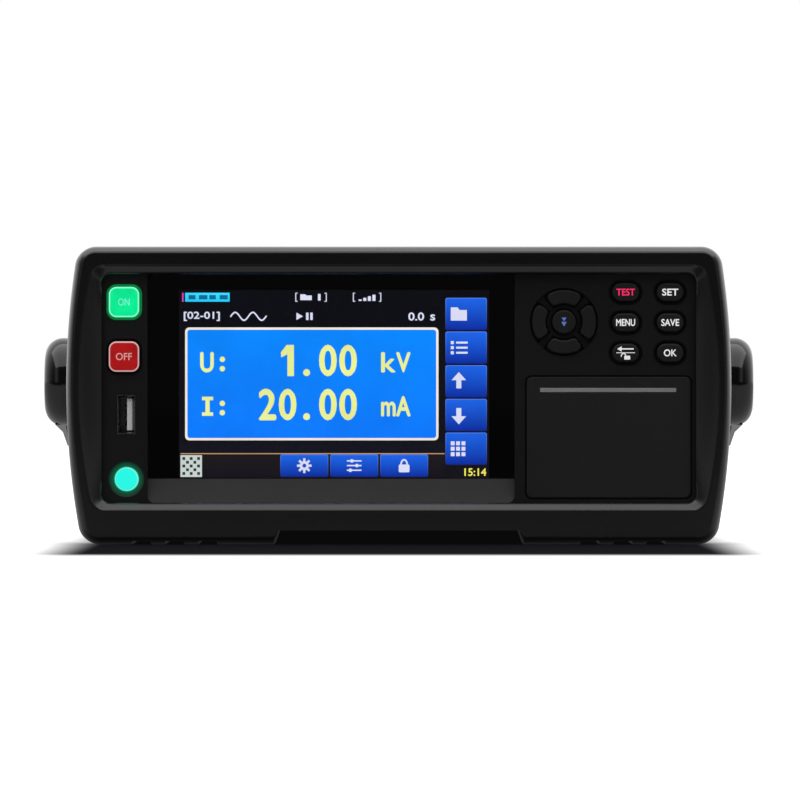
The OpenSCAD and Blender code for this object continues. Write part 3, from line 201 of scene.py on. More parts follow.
LEGEND = lit("legend_white", srgb(235, 235, 232), 0.8, grey(0.25))
LEGEND_RED = lit("legend_red", srgb(255, 45, 105), 0.85, (0.15, 0.01, 0.03))
LEGEND_BLUE = lit("legend_blue", srgb(105, 130, 220), 0.55, (0.05, 0.06, 0.15))
LEGEND_CYAN = lit("legend_cyan", srgb(120, 255, 225), 0.8, (0.05, 0.15, 0.12))
LEGEND_PINK = lit("legend_pink", srgb(250, 175, 170), 0.55, (0.3, 0.2, 0.2))


def smoked_glass():
    """The display window: clear, faintly grey, with a trace of unevenness in its polish."""
    m = skin("window_glass", grey(0.86), grey(0.9), 0.03, 0.01, 240, 0.0, patch=14, shine=0.5)
    b = m.node_tree.nodes["Principled BSDF"]
    b.inputs["Transmission Weight"].default_value = 1.0
    b.inputs["IOR"].default_value = 1.45
    return m


WINDOW = smoked_glass()


# A square key's body changes colour between these two depths behind its face
RIM_DEPTH, GAP_DEPTH = 0.35, 1.1


def key_body(name, rim, rim_level, gap, gap_level, node):
    """A square key's clear body: pale at its front rim, another colour down in the gap round it."""
    face = Spot(node).front
    m = skin(name, rim, rim, 0.3, bump=0.0)
    t = m.node_tree
    b = t.nodes["Principled BSDF"]
    axes = t.nodes.new("ShaderNodeSeparateXYZ")
    t.links.new(place(t), axes.inputs["Vector"])
    depth = remap(t, axes.outputs["Y"], 0, 1, ((face + RIM_DEPTH) * MM, (face + GAP_DEPTH) * MM))
    t.links.new(tone_mix(t, depth, rim, gap), b.inputs["Emission Color"])
    t.links.new(tone_mix(t, depth, [c * 0.35 for c in rim], [c * 0.1 for c in gap]), b.inputs["Base Color"])
    t.links.new(remap(t, depth, rim_level, gap_level, (0, 1)), b.inputs["Emission Strength"])
    return m


START_CLEAR = key_body("key_clear", srgb(135, 255, 215), 0.9, srgb(6, 128, 58), 0.9, "start_key")
STOP_CLEAR = key_body("stop_clear", srgb(240, 195, 196), 0.6, srgb(36, 6, 6), 0.1, "stop_key")


def from_axis(t, node):
    """The distance of a point from the axis of a round key."""
    key = Spot(node)
    shift = t.nodes.new("ShaderNodeVectorMath")
    shift.operation = "SUBTRACT"
    shift.inputs[1].default_value = (key.x * MM, 0, key.z * MM)
    t.links.new(place(t), shift.inputs[0])
    flat = t.nodes.new("ShaderNodeVectorMath")
    flat.operation = "MULTIPLY"
    flat.inputs[1].default_value = (1, 0, 1)
    t.links.new(shift.outputs["Vector"], flat.inputs[0])
    far = t.nodes.new("ShaderNodeVectorMath")
    far.operation = "LENGTH"
    t.links.new(flat.outputs["Vector"], far.inputs[0])
    return far.outputs["Value"]


# The power button, in metres: the radius of its face and the width of its pale edge
POWER_R = 4.1 * MM
POWER_EDGE = 0.2 * MM
POWER_TONE, POWER_PALE = srgb(40, 255, 236), srgb(110, 255, 225)
POWER_LEVEL, POWER_GAP_LEVEL = 0.9, 0.12


def power_face():
    """The power button's lit face with its pale edge, dim in the gap round it."""
    m = lit("power_lit", POWER_TONE, POWER_LEVEL, (0.0, 0.08, 0.06))
    t = m.node_tree
    b = t.nodes["Principled BSDF"]
    far = from_axis(t, "power_button")
    edge = remap(t, far, 0, 1, (POWER_R - 2 * POWER_EDGE, POWER_R - POWER_EDGE), True)
    t.links.new(tone_mix(t, edge, POWER_TONE, POWER_PALE), b.inputs["Emission Color"])
    level = remap(t, far, POWER_LEVEL, POWER_GAP_LEVEL, (POWER_R, POWER_R + POWER_EDGE), True)
    t.links.new(level, b.inputs["Emission Strength"])
    return m


def spilled_light(m, node, inner, peak, outer, colour):
    """Paints a ring of spilled light round a lit key: it rises from inner to peak and fades out at outer.
    """
    t = m.node_tree
    b = t.nodes["Principled BSDF"]
    far = from_axis(t, node)
    rise = remap(t, far, 0.6, 1, (inner, peak), True)
    fade = remap(t, far, 1, 0, (peak, outer), True)
    t.links.new(combine(t, "MULTIPLY", rise, fade), b.inputs["Emission Strength"])
    b.inputs["Emission Color"].default_value = (*colour, 1)


POWER_LIT = power_face()
# A painted glow of spilled green light on the bezel moulding round the power button
spilled_light(MOULDING, "power_button", POWER_R, 1.15 * POWER_R, 1.6 * POWER_R, srgb(2, 66, 32))

FINISH = {
    "rubber_black": RUBBER,
    "case_paint": PAINT,
    "panel_black": PANEL,
    "gloss_black": GLOSS,
    "window_glass": WINDOW,
    "lcd_dark": LCD,
    "trim_grey": TRIM,
    "key_rubber": KEY,
    "key_clear": START_CLEAR,
    "start_green": START_GREEN,
    "stop_clear": STOP_CLEAR,
    "stop_red": STOP_RED,
    "power_lit": POWER_LIT,
    "steel": STEEL,
    "brass": BRASS,
    "white_plastic": WHITE,
    "switch_dark": DARK,
    "board_green": BOARD,
    "socket_red": SOCKET_RED,
    "core_steel": CORE,
    "coil_tape": COIL,
    "aluminium": ALLOY,
    "cable_grey": CABLE,
}


def wear(node, mat):
    """One finish over the whole of a CAD node."""
    nodes[node].data.materials.clear()
    nodes[node].data.materials.append(mat)


for sub in frame["record"]["subparts"]:
    wear(sub["node"], FINISH[sub["material_slot"]])
wear("front_bezel", MOULDING)
wear("usb_shell", SHELL)


def soften(node, width, segments=2, angle=38):
    """Joins the faces of a CAD node that lie in one plane, then rounds edges sharper than the angle."""
    ob = nodes[node]
    weld = ob.modifiers.new("join", "WELD")
    weld.merge_threshold = 0.002 * MM
    flat = ob.modifiers.new("flat", "DECIMATE")
    flat.decimate_type = "DISSOLVE"
    flat.angle_limit = math.radians(1.0)
    edge = ob.modifiers.new("edge", "BEVEL")
    edge.width = width * MM
    edge.segments = segments
    edge.limit_method = "ANGLE"
    edge.angle_limit = math.radians(angle)


for node, width in {
    "front_bezel": 0.25,
    "blank_panel": 0.3,
    "trim_strip": 0.1,
    "top_cover": 0.2,
    "handle_arm_left": 0.5,
    "handle_arm_right": 0.5,
    "handle_grip": 1.2,
    "pivot_bosses": 0.4,
    "rear_panel": 0.15,
    "usb_shell": 0.06,
    "power_inlet": 0.3,
    "fuse_drawer": 0.3,
    "fan_guard": 0.3,
    "output_socket": 0.3,
    "return_socket": 0.3,
    "serial_port": 0.15,
    "handler_port": 0.15,
}.items():
    soften(node, width)


# Pieces made here


def add_piece(name, verts, faces, mat, body, smooth=None):
    """A piece from points in millimetres that rides on a body of the part."""
    me = bpy.data.meshes.new(name)
    me.from_pydata([Vector(v) * MM for v in verts], [], faces)
    me.update()
    if smooth is not None:
        me.polygons.foreach_set("use_smooth", [True] * len(me.polygons))
        me.set_sharp_from_angle(angle=math.radians(smooth))
    me.materials.append(mat)
    ob = bpy.data.objects.new(name, me)
    scene.collection.objects.link(ob)
    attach(ob, body)
    return ob


# Rubber bumpers: the part's own outline in finer loops

BUMPER_BOX = Spot("front_bumper")
BUMPER_BOW = 4.8
BUMPER_HALF = BUMPER_BOX.hi.x - BUMPER_BOW
BUMPER_H = BUMPER_BOX.hi.z
BUMPER_R = 6.3
RIM_IN = 2.7
RIM_D = 7.0
FRONT_Y = BUMPER_BOX.lo.y
# Panel opening and case: half width, bottom and top
OPENING = (104.6, 14.7, 95.2)
CASE_SEAT = (107.15, 10.35, 99.65)
CASE_SEAT_R = 4.15
BEVEL_TOP = 3.1
BEVEL_LOW = 2.4
BEVEL_SIDE = 5.2
BEVEL_BOW = 5.0
BEVEL_R = 4.0
OPENING_R = 3.0
# Underside: half the cut-out between the feet, its height, its slope, and the tread notches
FOOT_CUT = 42.5
FOOT_CUT_H = 5.0
FOOT_SLOPE = 1.8
TREAD_W = 6.6
TREAD_H = 1.3
TREAD_PITCH = 11.75
TREAD_END = 21.3
TREAD_WALL = 0.15
# The sides are widest above mid height
BOW_UP = 3.5
# How deep the panel lies in each bumper, and how deep the front bevel slopes
FRONT_RECESS, FRONT_SLOPE = 3.7, 2.3
REAR_RECESS = 13.2
# The round edge at a bumper's inner end: inset and distance from the end
TAIL_EDGE = ((1.2, 0), (0.6, 0.1), (0.2, 0.5), (0, 1.2))
# A line this far inside the rim keeps the band between rim and bevel flat
BAND_IN = 0.3
# The bevel's outer edge, soft at the sides and crisp at the ends: depth, and reach at sides and at ends
BEVEL_SINK = 0.22
BEVEL_EDGE = ((0, 1.3, 0.4), (0, 1.1, 0.25), (0.06, 0.5, 0.12), (BEVEL_SINK, 0, 0))
# The bevel's inner edge: how far it is eased, and where the round begins and ends; then the lip's thickness
INNER_EASE = 0.08
INNER_NEAR, INNER_FAR, INNER_SINK = 0.1, 0.15, 0.2
LIP_T = 0.7
# Steps along each corner, side, top, rim and bevel
CORNER_N, SIDE_N, TOP_N, RIM_N, BEVEL_N = 10, 28, 8, 14, 4


def arc(cx, cz, r, a0, n):
    """A quarter circle from angle a0, both ends included."""
    angles = [math.radians(a0 + 90 * i / n) for i in range(n + 1)]
    return [(cx + r * math.cos(a), cz + r * math.sin(a)) for a in angles]


def between(p, q, n):
    """The points that divide a line into n, ends left out."""
    return [(p[0] + (q[0] - p[0]) * i / n, p[1] + (q[1] - p[1]) * i / n) for i in range(1, n)]


def foot_line():
    """The underside's cut-out and tread notches, left to right, as X and height."""
    half = [(FOOT_CUT, FOOT_CUT_H), (FOOT_CUT + FOOT_SLOPE, 0.0)]
    for i in (2, 1, 0):
        x = BUMPER_HALF - TREAD_END - i * TREAD_PITCH
        low, high = TREAD_W / 2 + TREAD_WALL, TREAD_W / 2 - TREAD_WALL
        half += [(x - low, 0.0), (x - high, TREAD_H), (x + high, TREAD_H), (x + low, 0.0)]
    return [(-x, z) for x, z in reversed(half)] + half


FOOT = foot_line()


def loop(y, half, bow, z0, z1, r, outer):
    """One closed line of points round a bumper at depth y; outer is 1 on the outside, with the feet."""
    zc, zh = (z0 + z1) / 2 + outer * BOW_UP, (z1 - z0) / 2
    flat = [(x, z0) for x, _ in FOOT]
    flat += arc(half - r, z0 + r, r, -90, CORNER_N)
    flat += between((half, z0 + r), (half, z1 - r), SIDE_N)
    flat += arc(half - r, z1 - r, r, 0, CORNER_N)
    flat += between((half - r, z1), (r - half, z1), TOP_N)
    flat += arc(r - half, z1 - r, r, 90, CORNER_N)
    flat += between((-half, z1 - r), (-half, z0 + r), SIDE_N)
    flat += arc(r - half, z0 + r, r, 180, CORNER_N)
    out = []
    for i, (x, z) in enumerate(flat):
        u = (z - zc) / zh
        up = max(FOOT[i][1] - z0, 0) if i < len(FOOT) else 0
        out.append((x * (1 + bow / half * (1 - u * u)), y, z + outer * up))
    return out


def opening_loop(y, k, bow, r, soft=(0, 0)):
    """A loop round the panel opening, k of the way to the bevel's edge; soft widens its sides and ends."""
    half, z0, z1 = OPENING
    wide = half + k * (BUMPER_HALF - BEVEL_SIDE - half) + soft[0]
    low = z0 - k * BEVEL_LOW - soft[1]
    high = z1 + k * BEVEL_TOP + soft[1]
    return loop(y, wide, bow, low, high, r, 0)


def bumper(name, node, recess, slope, back):
    """A bumper in loops round its section; slope is the bevel's depth, and back turns it round."""
    length = Spot(node).size.y

    def outer(inset, d):
        return loop(
            FRONT_Y + d, BUMPER_HALF - inset, BUMPER_BOW, inset, BUMPER_H - inset, BUMPER_R - inset, 1
        )

    loops = [outer(inset, length - d) for inset, d in TAIL_EDGE]
    for i in range(RIM_N + 1):
        a = math.radians(90 * i / RIM_N)
        loops.append(outer(RIM_IN * (1 - math.cos(a)), RIM_D * (1 - math.sin(a))))
    loops.append(outer(RIM_IN + BAND_IN, 0))
    for sink, wide, high in BEVEL_EDGE:
        loops.append(opening_loop(FRONT_Y + sink, 1, BEVEL_BOW, BEVEL_R + 0.4 * wide, (wide, high)))
    for i in range(1, BEVEL_N):
        k = 1 - i / BEVEL_N
        r = OPENING_R + (BEVEL_R - OPENING_R) * k
        sink = BEVEL_SINK + (slope - BEVEL_SINK - INNER_SINK) * (1 - k)
        loops.append(opening_loop(FRONT_Y + sink, k, BEVEL_BOW * k, r))
    seat_y = FRONT_Y + recess + LIP_T
    half, z0, z1 = CASE_SEAT
    loops += [
        opening_loop(FRONT_Y + slope - INNER_NEAR, 0, 0, OPENING_R, (INNER_EASE, INNER_EASE)),
        opening_loop(FRONT_Y + slope + INNER_FAR, 0, 0, OPENING_R),
        opening_loop(seat_y, 0, 0, OPENING_R),
        loop(seat_y, half, 0, z0, z1, CASE_SEAT_R, 0),
        loop(FRONT_Y + length, half, 0, z0, z1, CASE_SEAT_R, 0),
    ]
    n, m = len(loops[0]), len(loops)
    verts = [(x, -y if back else y, z) for ring in loops for x, y, z in ring]
    faces = []
    for k in range(m):
        for i in range(n):
            j, k2 = (i + 1) % n, (k + 1) % m
            face = [k * n + i, k2 * n + i, k2 * n + j, k * n + j]
            faces.append(face[::-1] if back else face)
    piece = add_piece(name, verts, faces, RUBBER, "case", 40)
    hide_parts(node)


bumper("bumper_front_skin", "front_bumper", FRONT_RECESS, FRONT_SLOPE, False)
bumper("bumper_rear_skin", "rear_bumper", REAR_RECESS, REAR_RECESS, True)


# Contacts of the socket's tongue: places along it, width, thickness, bow, length and depth of their start
CONTACT_AT = (-3.5, -1.0, 1.0, 3.5)
CONTACT_W, CONTACT_T, CONTACT_BOW = 1.0, 0.15, 0.8
CONTACT_LEN, CONTACT_BACK = 5.0, 0.6


def usb_contacts():
    """The four sprung contacts that bow out from the broad side of the socket's tongue."""
    tongue = Spot("usb_tongue")
    n = 10
    half = CONTACT_W / 2
    verts, faces = [], []
    for dz in CONTACT_AT:
        base = len(verts)
        for i in range(n + 1):
            x = tongue.lo.x - CONTACT_BOW * math.sin(math.pi * i / n)
            y = tongue.front + CONTACT_BACK + CONTACT_LEN * i / n
            z = tongue.z + dz
            verts += [(x, y, z - half), (x, y, z + half)]
            verts += [(x + CONTACT_T, y, z + half), (x + CONTACT_T, y, z - half)]
        for i in range(n):
            for j in range(4):
                a, b = base + 4 * i + j, base + 4 * i + (j + 1) % 4
                faces.append([a, b, b + 4, a + 4])
        faces += [[base + 3, base + 2, base + 1, base], [base + 4 * n + j for j in range(4)]]
    add_piece("usb_contacts", verts, faces, BRASS, "case", 40)


usb_contacts()


# Flat drawings: the display's page and the key legends


def glyphs(text):
    """A word in Blender's own font as flat points and faces, with its box."""
    cu = bpy.data.curves.new("word", "FONT")
    cu.body = text
    cu.resolution_u = 4
    ob = bpy.data.objects.new("word", cu)
    scene.collection.objects.link(ob)
    bpy.context.view_layer.update()
    me = bpy.data.meshes.new_from_object(ob.evaluated_get(bpy.context.evaluated_depsgraph_get()))
    pts = [(v.co.x, v.co.y) for v in me.vertices]
    faces = [list(p.vertices) for p in me.polygons]
    bpy.data.objects.remove(ob)
    bpy.data.curves.remove(cu)
    bpy.data.meshes.remove(me)
    xs, ys = [p[0] for p in pts], [p[1] for p in pts]
    return pts, faces, (min(xs), min(ys), max(xs), max(ys))


class Sheet:
    """Flat tinted shapes on a plane that faces the front; the page runs right and up, or right and down."""

    def __init__(self, y, to_mm, down):
        self.y, self.to_mm, self.down = y, to_mm, down
        self.verts, self.faces, self.tints = [], [], []
        self.lift = 0.0

    def add(self, pts, faces, tints):
        """Faces of the sheet, each shape a hair in front of the one before, turned to face the front."""
        base = len(self.verts)
        self.lift += 0.002
        for p in pts:
            x, z = self.to_mm(*p)
            self.verts.append((x, self.y - self.lift, z))
        self.tints += tints
        for f in faces:
            f = [base + i for i in f]
            a, b, c = (self.verts[i] for i in f[:3])
            turn = (b[0] - a[0]) * (c[2] - a[2]) - (b[2] - a[2]) * (c[0] - a[0])
            self.faces.append(f if turn > 0 else f[::-1])

    def shape(self, pts, tint):
        self.add(pts, [list(range(len(pts)))], [tint] * len(pts))

    def block(self, u, v, w, h, top, bottom=None):
        """A rectangle, shaded from its first edge to its last."""
        bottom = bottom or top
        corners = [(u, v), (u + w, v), (u + w, v + h), (u, v + h)]
        self.add(corners, [[0, 1, 2, 3]], [top, top, bottom, bottom])

    def rounded(self, u, v, w, h, r, top, bottom=None):
        """A rectangle with round corners, shaded from its first edge to its last."""
        bottom = bottom or top
        u0, u1, v0, v1 = u + r, u + w - r, v + r, v + h - r
        corners = ((u1, v1, 0), (u0, v1, 90), (u0, v0, 180), (u1, v0, 270))
        pts = [p for cu, cv, a0 in corners for p in arc(cu, cv, r, a0, 5)]
        tints = []
        for _, y in pts:
            k = (y - v) / h
            tints.append(tuple(p + (q - p) * k for p, q in zip(top, bottom)))
        self.add(pts, [list(range(len(pts)))], tints)

    def disc(self, u, v, r, tint, n=24):
        angles = [2 * math.pi * i / n for i in range(n)]
        self.shape([(u + r * math.cos(a), v + r * math.sin(a)) for a in angles], tint)

    def line(self, pts, w, tint):
        """A stroke of width w through the points."""
        for (ua, va), (ub, vb) in zip(pts, pts[1:]):
            d = math.hypot(ub - ua, vb - va)
            du, dv = (ub - ua) / d * w / 2, (vb - va) / d * w / 2
            ua, va, ub, vb = ua - du, va - dv, ub + du, vb + dv
            corners = [(ua - dv, va + du), (ub - dv, vb + du), (ub + dv, vb - du), (ua + dv, va - du)]
            self.shape(corners, tint)

    def hoop(self, u, v, rx, ry, w, tint):
        """The half ring of a padlock's bow."""
        ends = [math.pi * i / 10 for i in range(11)]
        up = -1 if self.down else 1
        self.line([(u - rx * math.cos(a), v + up * ry * math.sin(a)) for a in ends], w, tint)

    def word(self, text, u, v, w, h, tint, bold=0.0):
        """A word fitted to a box whose first corner is u, v; bold draws it again with small shifts."""
        pts, faces, (x0, y0, x1, y1) = glyphs(text)
        shifts = ((0, 0), (bold, 0), (-bold, 0), (0, bold), (0, -bold)) if bold else ((0, 0),)
        for du, dv in shifts:
            fitted = []
            for x, y in pts:
                k = (y - y0) / (y1 - y0)
                k = 1 - k if self.down else k
                fitted.append((u + (x - x0) / (x1 - x0) * w + du, v + k * h + dv))
            self.add(fitted, faces, [tint] * len(fitted))

    def make(self, name, mat, body):
        ob = add_piece(name, self.verts, self.faces, mat, body)
        tint = ob.data.color_attributes.new("tint", "FLOAT_COLOR", "POINT")
        for spot, c in zip(tint.data, self.tints):
            spot.color = (*c, 1)
        return ob


def display_light():
    """The display's light: each shape's own tint, a little uneven like a real backlight."""
    m = skin("display_light", grey(0.001), grey(0.002), 0.3, bump=0.0, shine=0.04)
    t = m.node_tree
    b = t.nodes["Principled BSDF"]
    tint = t.nodes.new("ShaderNodeVertexColor")
    tint.layer_name = "tint"
    t.links.new(tint.outputs["Color"], b.inputs["Emission Color"])
    t.links.new(remap(t, noise(t, place(t), 60, 2.0), 1.06, 1.2), b.inputs["Emission Strength"])
    return m


DISPLAY = display_light()
LCD_BOX = Spot("lcd_module")
# Lit area, and the grid of 800 by 480 dots that the page is drawn on
LIT_W, LIT_H = 108.6, 66.1
PAGE_W, PAGE_H = 800, 480


def page_to_mm(u, v):
    """The X and Z of a dot of the page, counted right and down from its top left corner."""
    return LCD_BOX.x + (u / PAGE_W - 0.5) * LIT_W, LCD_BOX.z - (v / PAGE_H - 0.5) * LIT_H


NIGHT = srgb(4, 4, 10)
NIGHT_WARM = srgb(26, 22, 26)
PALE = srgb(226, 229, 248)
YELLOW = srgb(240, 248, 150)
CREAM = srgb(250, 240, 222)
BLUE, BLUE_LOW = srgb(0, 138, 255), srgb(4, 124, 255)
KEY_TOP, KEY_MID, KEY_LOW = srgb(26, 102, 232), srgb(28, 74, 206), srgb(4, 44, 162)
KEY_EDGE, KEY_SHADE = srgb(84, 130, 240), srgb(18, 34, 118)
NIGHT_LOW, DUSK = srgb(15, 13, 22), srgb(14, 14, 28)
HEAD_TOP, HEAD_LOW = srgb(4, 5, 14), srgb(3, 4, 12)
TITLE_TOP, TITLE_LOW, TITLE_INK = srgb(62, 226, 255), srgb(30, 205, 250), srgb(14, 105, 150)
PAPER, INK = srgb(205, 215, 205), srgb(40, 55, 62)
# Rows of the page, in dots: header, step line, the two readings and foot
HEAD_V, STEP_V, FOOT_V = 6, 55, 421
READ_ROWS = (140, 253)
LINE_H = 23
LINE_BOLD = 0.6
# Header: the title block with its plain words, and the brackets of the folder and the signal mark
TITLE_U, TITLE_W = 12, 116
TITLE_WORDS, TITLE_PITCH = (18, 22, 17, 21), 27
FILE_U, FILE_W = 299, 82
SIGNAL_U, SIGNAL_W = 449, 74
BRACKET_W = 6
# Step line: number, wave, play mark, time and its unit
STEP_U, WAVE_U, PLAY_U, TIME_U, SECOND_U = 9, 131, 302, 594, 651
# Readings: their frame, sign, colon, digits set to the right, and unit
READ_U, READ_V, READ_W, READ_H, READ_RING = 12, 95, 660, 290, 6
SIGN_U, COLON_U, READ_RIGHT, UNIT_U = 53, 109, 459, 524
DIGIT_W, DIGIT_H, DIGIT_PITCH = 45, 80, 52.5
LETTER_W, LETTER_H, LETTER_PITCH, LETTER_DROP = 35, 49, 39, 20
SLAB = 9
# Soft keys at the side and foot, the field left of the side keys, the dotted square and the clock
SIDE_U, SIDE_V, SIDE_W, SIDE_H, SIDE_PITCH = 690, 19, 108, 83, 86.5
SOFT_U, SOFT_W, SOFT_H, SOFT_PITCH = 260, 125, 58, 130
FIELD_W = 688
SQUARE, DOT, DOT_PITCH = 56, 7.4, 9.6
CLOCK_U, CLOCK_V = 740, 457


def bars(s, u, v, pitch, w, heights, tint):
    """A row of upright bars that stand on one line."""
    for i, h in enumerate(heights):
        s.block(u + i * pitch, v - h, w, h, tint)


def folder(s, u, v, w, h):
    """A folder: a tab over a box."""
    tab, drop = 0.42 * w, 0.2 * h
    outline = ((0, 0), (tab, 0), (1.3 * tab, drop), (w, drop), (w, h), (0, h))
    s.shape([(u + du, v + dv) for du, dv in outline], PALE)


def header(s):
    """A title block with plain bars for words, a folder and a signal mark in brackets."""
    s.block(TITLE_U - 8, HEAD_V, 4, LINE_H, srgb(225, 70, 190))
    s.block(TITLE_U, HEAD_V, TITLE_W, LINE_H, TITLE_TOP, TITLE_LOW)
    for i, w in enumerate(TITLE_WORDS):
        s.block(TITLE_U + 9 + i * TITLE_PITCH, HEAD_V + 6, w, 11, TITLE_INK)
    for u, w in ((FILE_U, FILE_W), (SIGNAL_U, SIGNAL_W)):
        s.word("[", u, HEAD_V, BRACKET_W, LINE_H, PALE)
        s.word("]", u + w - BRACKET_W, HEAD_V, BRACKET_W, LINE_H, PALE)
    folder(s, FILE_U + 13, HEAD_V + 4, 30, 15)
    s.word("1", FILE_U + 59, HEAD_V + 3, 7, 17, PALE)
    bars(s, SIGNAL_U + 15, HEAD_V + 21, 12, 8, (4, 8, 12, 16), PALE)


def step_line(s):
    """Step number, the test's wave, a play and pause mark, and the time."""
    s.word("[02-01]", STEP_U, STEP_V, 93, LINE_H, PALE, LINE_BOLD)
    mid = STEP_V + LINE_H / 2
    reach, swing, n = 92, 10, 40
    wave = [(WAVE_U + reach * i / n, mid - swing * math.sin(4 * math.pi * i / n)) for i in range(n + 1)]
    s.line(wave, 3.6, PALE)
    top, tall = STEP_V + 2, 19
    s.shape([(PLAY_U, top), (PLAY_U, top + tall), (PLAY_U + 17, mid)], PALE)
    for u in (PLAY_U + 25, PLAY_U + 36):
        s.block(u, top, 6.5, tall, PALE)
    s.word("0.0", TIME_U, top, 40, 20, PALE, LINE_BOLD)
    s.word("s", SECOND_U, top + 5, 12, 15, PALE, LINE_BOLD)


def big_one(s, u, v):
    """A one with a flag, in the width of a digit."""
    w, stem = 34, 17
    outline = ((0, 19), (stem - 2, 0), (w, 0), (w, DIGIT_H), (stem, DIGIT_H), (stem, 24), (1, 32))
    s.shape([(u + du, v + dv) for du, dv in outline], YELLOW)


def slab_i(s, u, v):
    """A capital I with slabs at its ends."""
    w, stem = 29, 11
    for dv in (0, LETTER_H - SLAB):
        s.block(u, v + dv, w, SLAB, YELLOW)
    s.block(u + SLAB, v, stem, LETTER_H, YELLOW)


def reading(s, v, sign, number, unit):
    """One line of the readings: a sign with a colon, a number set to the right, and its unit."""
    low = v + LETTER_DROP
    if sign == "I":
        slab_i(s, SIGN_U + 3, low)
    else:
        s.word(sign, SIGN_U, low, LETTER_W - 3, LETTER_H, YELLOW, 1.8)
    for dv in (17, 41):
        s.disc(COLON_U, low + dv, 7, YELLOW)
    u = READ_RIGHT - DIGIT_W - (len(number) - 1) * DIGIT_PITCH
    for mark in number:
        if mark == ".":
            s.disc(u + DIGIT_W / 2 - 3, v + DIGIT_H - 9, 9, YELLOW)
        elif mark == "1":
            big_one(s, u + 5, v)
        else:
            s.word(mark, u + 2, v + 2, DIGIT_W - 4, DIGIT_H - 4, YELLOW, 2.6)
        u += DIGIT_PITCH
    for i, letter in enumerate(unit):
        drop = 14 if letter == "m" else 0
        s.word(letter, UNIT_U + i * LETTER_PITCH, low + drop, LETTER_W, LETTER_H - drop, YELLOW, 1.6)


def soft_key(s, u, v, w, h):
    """A blue key of the page with a light upper and a dark lower edge."""
    s.rounded(u, v, w, h, 5, KEY_EDGE, KEY_SHADE)
    s.rounded(u + 2, v + 2, w - 4, h - 4, 4, KEY_TOP, KEY_LOW)


def arrow(s, u, v, way):
    """An arrow that points up, or down where way is -1."""
    head, stem = 19, 6.5
    outline = ((0, -24), (head, -3), (stem, -3), (stem, 18), (-stem, 18), (-stem, -3), (-head, -3))
    s.shape([(u + du, v + way * dv) for du, dv in outline], PALE)


def list_mark(s, u, v):
    """Three lines with a square before each."""
    for dv in (-13, 0, 13):
        s.block(u, v - 4 + dv, 8, 8, PALE)
        s.block(u + 14, v - 2.5 + dv, 30, 5, PALE)


def grid_mark(s, u, v):
    """Nine squares in three rows."""
    w, pitch = 10, 14
    for i in range(9):
        s.block(u + i % 3 * pitch, v - 19 + i // 3 * pitch, w, w, PALE)


def gear_mark(s, u, v):
    """Eight teeth round a disc with a hole."""
    tip = 16
    for i in range(8):
        a = math.pi / 4 * i
        s.line([(u, v), (u + tip * math.cos(a), v + tip * math.sin(a))], 6, PALE)
    s.disc(u, v, 12, PALE)
    s.disc(u, v, 5, KEY_MID)


def slider_mark(s, u, v):
    """Three sliders, each with its knob."""
    for i, knob in enumerate((-6, 7, -10)):
        s.block(u - 19, v - 14 + 12 * i, 38, 3.4, PALE)
        s.disc(u + knob, v - 12.3 + 12 * i, 4.6, PALE, 16)


def lock_mark(s, u, v):
    """A padlock with its bow."""
    s.rounded(u - 14, v - 3, 28, 20, 3, PALE)
    s.hoop(u, v - 2, 8, 13, 4, PALE)


def side_keys(s):
    """Five keys down the right side: folder, list, up, down and grid."""
    for i in range(5):
        soft_key(s, SIDE_U, SIDE_V + i * SIDE_PITCH, SIDE_W, SIDE_H)
    mids = [SIDE_V + SIDE_H / 2 + i * SIDE_PITCH for i in range(5)]
    u = SIDE_U + 14
    folder(s, u, mids[0] - 17, 42, 34)
    list_mark(s, u, mids[1])
    arrow(s, u + 21, mids[2], 1)
    arrow(s, u + 21, mids[3], -1)
    grid_mark(s, u, mids[4])


def foot_keys(s):
    """Three keys along the foot: gear, sliders and padlock."""
    for i in range(3):
        soft_key(s, SOFT_U + i * SOFT_PITCH, FOOT_V, SOFT_W, SOFT_H)
    for i, mark in enumerate((gear_mark, slider_mark, lock_mark)):
        mark(s, SOFT_U + SOFT_W / 2 + i * SOFT_PITCH, FOOT_V + SOFT_H / 2)


def page_ground(s):
    """The dark ground of the page, with bands behind the header and the foot."""
    s.block(-5, -4, PAGE_W + 10, PAGE_H + 8, NIGHT, NIGHT_LOW)
    s.block(2, 0, READ_W + 24, 92, HEAD_TOP, HEAD_LOW)
    s.block(0, READ_V + READ_H + 7, FIELD_W, 27, DUSK)
    s.block(SQUARE + 4, FOOT_V + 2, FIELD_W - SQUARE - 6, SOFT_H, NIGHT_WARM, srgb(16, 13, 22))


def dotted_square(s):
    """A plain square with every other dot of a five by five grid."""
    top = FOOT_V + 2
    s.block(0, top, SQUARE, SQUARE, PAPER)
    for i in range(0, 25, 2):
        s.block(5 + i % 5 * DOT_PITCH, top + 5 + i // 5 * DOT_PITCH, DOT, DOT, INK)


def display_page():
    """The measuring page: header, step line, two large readings, soft keys and a clock."""
    s = Sheet(LCD_BOX.front - 0.03, page_to_mm, True)
    page_ground(s)
    header(s)
    step_line(s)
    s.rounded(READ_U, READ_V, READ_W, READ_H, 11, CREAM)
    inner_w, inner_h = READ_W - 2 * READ_RING, READ_H - 2 * READ_RING
    s.rounded(READ_U + READ_RING, READ_V + READ_RING, inner_w, inner_h, 7, BLUE, BLUE_LOW)
    reading(s, READ_ROWS[0], "U", "1.00", "kV")
    reading(s, READ_ROWS[1], "I", "20.00", "mA")
    s.block(0, FOOT_V - 3, FIELD_W, 2.4, srgb(205, 160, 110))
    dotted_square(s)
    side_keys(s)
    foot_keys(s)
    s.word("15:14", CLOCK_U, CLOCK_V, 56, 19, srgb(250, 240, 90), LINE_BOLD)
    s.make("display_picture", DISPLAY, "case")


display_page()


def to_same(x, z):
    return x, z


WHITE_TINT = (1, 1, 1)
